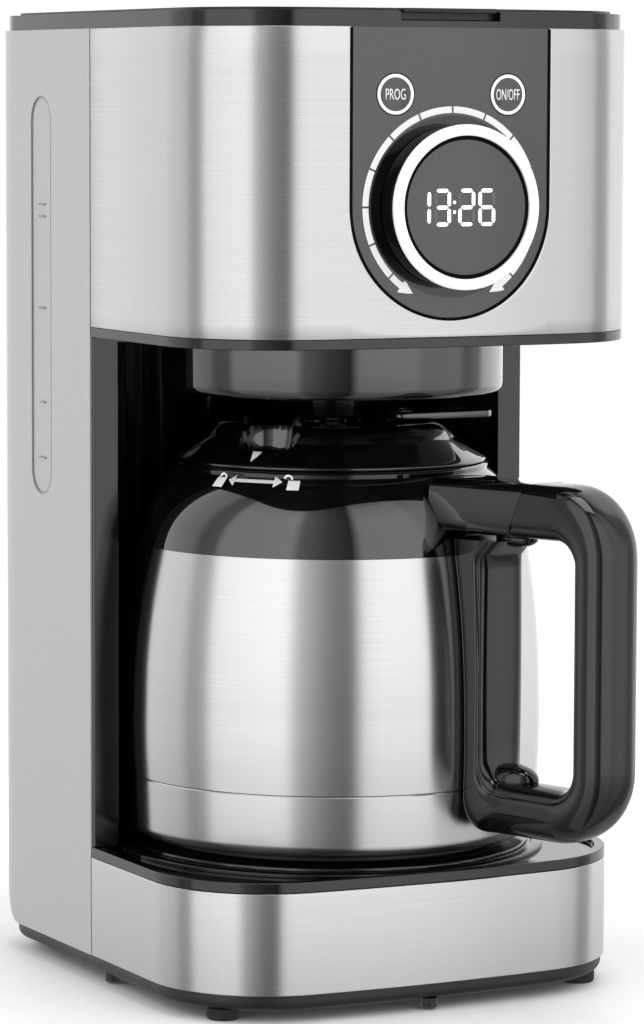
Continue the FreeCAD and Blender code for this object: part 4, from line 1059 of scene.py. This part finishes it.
# %% Refined copies
def refined(node, finish, edge, body="machine", segments=2, reshape=None):
    """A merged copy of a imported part, with eased edges, that stands for it."""
    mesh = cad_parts[node].data.copy()
    mesh.name = f"{node}_refined"
    work = bmesh.new()
    work.from_mesh(mesh)
    bmesh.ops.remove_doubles(work, verts=work.verts, dist=2e-6)
    bmesh.ops.dissolve_limit(work, angle_limit=math.radians(0.3), verts=work.verts, edges=work.edges)
    bmesh.ops.recalc_face_normals(work, faces=work.faces)
    if reshape:
        reshape(work)
    work.to_mesh(mesh)
    work.free()
    mesh.shade_smooth()
    mesh.set_sharp_from_angle(angle=math.radians(38))
    made = into_scene(mesh.name, mesh)
    mesh.materials.clear()
    mesh.materials.append(finish)
    if edge:
        ease_edges(made, edge, segments, 42).harden_normals = True
    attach(made, body)
    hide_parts(node)
    print(f"{mesh.name}: {len(mesh.polygons)} faces")
    return made


def round_off(low, height, inset):
    """A change of shape: below a height the back draws in along a quarter ellipse, seam unmoved."""

    def reshape(work):
        for t in np.linspace(0, 1, 9):
            level = low + height * (1 - math.cos(t * math.pi / 2)) + 1e-3
            every = list(work.verts) + list(work.edges) + list(work.faces)
            bmesh.ops.bisect_plane(work, geom=every, plane_co=(0, 0, level * MM), plane_no=(0, 0, 1))
        for corner in work.verts:
            rise = min(max((corner.co.z / MM - low) / height, 0), 1)
            drawn = inset * (1 - math.sqrt(1 - (1 - rise) ** 2))
            behind = corner.co.y / MM - SEAM
            if behind > 0:
                corner.co.y = (SEAM + behind * (BACK - drawn - SEAM) / (BACK - SEAM)) * MM

    return reshape


def shorten_stem(work):
    """A change of shape: the end of a button's stem is drawn in by a tenth of a millimetre, so that
    it only just misses the switch behind it when the button is fully pressed."""
    stem_end = 7 - FACE
    for corner in work.verts:
        if corner.co.y > (stem_end - 0.05) * MM:
            corner.co.y -= 0.1 * MM


refined("rear_housing", SILVER, 0.5, reshape=round_off(BASE_LOW, 12, 8))
refined("top_frame", FRAME_BLACK, 0.6, segments=3)
refined("lid", LID_BLACK, 0.3, "lid")
refined("head_frame", FRAME_BLACK, 0.4)
refined("control_panel", PANEL, 0.15)
refined("base_tray", FRAME_BLACK, 0.4)
refined("jug_rest", FRAME_BLACK, 0.25)
refined("base_plate", MATT_BLACK, 0.3, reshape=round_off(20, 4, 8))
refined("bay_liner", LINER_BLACK, 0.4)
refined("water_gauge_window", PANE, 0.25)
for button in BUTTONS:
    refined(button, PANEL, 0.12, button, reshape=shorten_stem)
refined("feet", RUBBER, 0.3)

# %% [markdown]
# The drip stop's spring is a coil that shortens as the valve rises: its top end stays, and its length
# goes from 6.4 mm to 3.4 mm. Here it is a refined copy with a mesh of its own.

# %% Drip stop spring
spring = refined("drip_stop_spring", PLAIN_STEEL, 0)
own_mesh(spring)

# %% [markdown]
# ## Camera
# The machine is seen from the front left, a little above its middle, from about 1.6 m with a long
# lens, so that its upright edges stay nearly parallel.

# %% Camera
EYE = np.array([-734.7, -1412.55, 330.4])
HEADING, TILT, ROLL = math.radians(-27.2), math.radians(-5.6), math.radians(-0.2)
camera_data = bpy.data.cameras.new("camera")
camera_data.sensor_fit = "VERTICAL"
camera_data.sensor_height = 36
camera_data.sensor_width = 36
camera_data.lens = 150.7641
camera_data.shift_x = -0.0032
camera_data.shift_y = 0.0024
camera_data.clip_end = 50
camera = into_scene("camera", camera_data)
camera.location = EYE * MM
camera.rotation_euler = (math.pi / 2 + TILT, ROLL, HEADING)
bpy.context.scene.camera = camera
print("camera stands", round(float(np.linalg.norm(EYE)) * MM, 2), "m away")

# %% [markdown]
# ## Light
# A machine of steel and black gloss is lit by what it mirrors, so the room is the light: a ring of
# tall soft white panels with narrow gaps between them, bright from just under the table's edge up to
# about sixty degrees, under a dim ceiling. It is painted on the world by direction. The gaps give
# the upright dark streaks that make brushed steel look like steel.


# %% World of soft panels
def curve_of(tree, value, stops):
    """A ramp of grey levels; each stop is (place from 0 to 1, level)."""
    ramp = add(tree, "ValToRGB", {"Fac": value})
    points = ramp.color_ramp.elements
    while len(points) < len(stops):
        points.new(0.5)
    for point, (where, level) in zip(points, stops):
        point.position = where
        point.color = (level, level, level, 1)
    return ramp.outputs["Color"]


world = bpy.data.worlds.new("soft panels")
bpy.context.scene.world = world
world.use_nodes = True
sky = world.node_tree
sky.nodes.clear()
towards = add(sky, "TexCoord").outputs["Generated"]
parts = add(sky, "SeparateXYZ", {"Vector": towards})
turn = add(sky, "Math", {0: parts.outputs["X"]}, operation="ARCTAN2")
flipped = add(sky, "Math", {0: parts.outputs["Y"], 1: -1.0}, operation="MULTIPLY")
sky.links.new(flipped.outputs["Value"], turn.inputs[1])
around = add(sky, "MapRange", {"Value": turn.outputs["Value"], "From Min": -math.pi, "From Max": math.pi})
up = add(sky, "MapRange", {"Value": parts.outputs["Z"], "From Min": -1.0, "From Max": 1.0})
PANELS = [
    (-180, 0.26), (-150, 0.26), (-118, 0.22), (-111, 0.12), (-101, 0.15), (-96, 0.36), (-52, 0.42),
    (-46, 0.20), (-30, 0.09), (-15, 0.04), (-9, 0.36), (0, 0.38), (30, 0.38), (36, 0.30), (66, 0.25),
    (74, 0.13), (88, 0.15), (96, 0.32), (112, 0.28), (130, 0.22), (180, 0.25),
]
ring = curve_of(sky, around.outputs["Result"], [((angle + 180) / 360, level) for angle, level in PANELS])
RISE = [
    (-90, 0.3), (-35, 0.4), (-14, 0.65), (-8, 0.95), (0, 1.0), (45, 1.0), (58, 0.75), (66, 0.2), (90, 0.3),
]
steps_up = [(0.5 + 0.5 * math.sin(math.radians(angle)), level) for angle, level in RISE]
rise = curve_of(sky, up.outputs["Result"], steps_up)
glow = add(sky, "MixRGB", {"Fac": 1.0, "Color1": ring, "Color2": rise}, blend_type="MULTIPLY")
room = add(sky, "Background", {"Color": glow.outputs["Color"], "Strength": 5.2})
plain = add(sky, "Background", {"Color": (1, 1, 1, 1), "Strength": 1.0})
ray = add(sky, "LightPath")
seen = add(sky, "MixShader", {0: ray.outputs["Is Camera Ray"], 1: room.outputs[0], 2: plain.outputs[0]})
add(sky, "OutputWorld", {"Surface": seen.outputs[0]})

print("stops round the room and upwards:", len(PANELS), len(RISE))

# %% [markdown]
# The table is a plain pale disc. It is left out of the mirrors, so that the low steel band shows the
# same soft panels as the rest and not only a white floor.


# %% Table
def table_finish():
    made, tree, shader = new_finish("pale matt table", "f4f4f3", 0.6)
    uneven(tree, shader, 60, 0.55, 0.65)
    return made


steps = 96
ring_radius = np.array([0.0, 250.0, 500.0, 900.0, 1600.0, 3000.0])
angle = np.linspace(0, 2 * math.pi, steps, endpoint=False)[:, None]
table_points = np.stack(
    [ring_radius * np.cos(angle), ring_radius * np.sin(angle), np.zeros((steps, len(ring_radius)))], axis=-1
).reshape(-1, 3)
table_mesh = bpy.data.meshes.new("table")
table_mesh.from_pydata((table_points * MM).tolist(), [], lattice(steps, len(ring_radius), join_rows=True))
table = into_scene("table", table_mesh)
table.data.materials.append(table_finish())
table.visible_glossy = False

top_light = bpy.data.lights.new("overhead softbox", "AREA")
top_light.energy = 9
top_light.size = 0.9
lamp = into_scene("overhead softbox", top_light)
lamp.location = (0.1, -0.2, 1.6)
bpy.context.scene.view_settings.view_transform = "Standard"

# %% [markdown]
# ## Last step
# The view layer is brought up to date. The visual model has to stay in the box of the imported one.

# %% Update the view layer
bpy.context.view_layer.update()
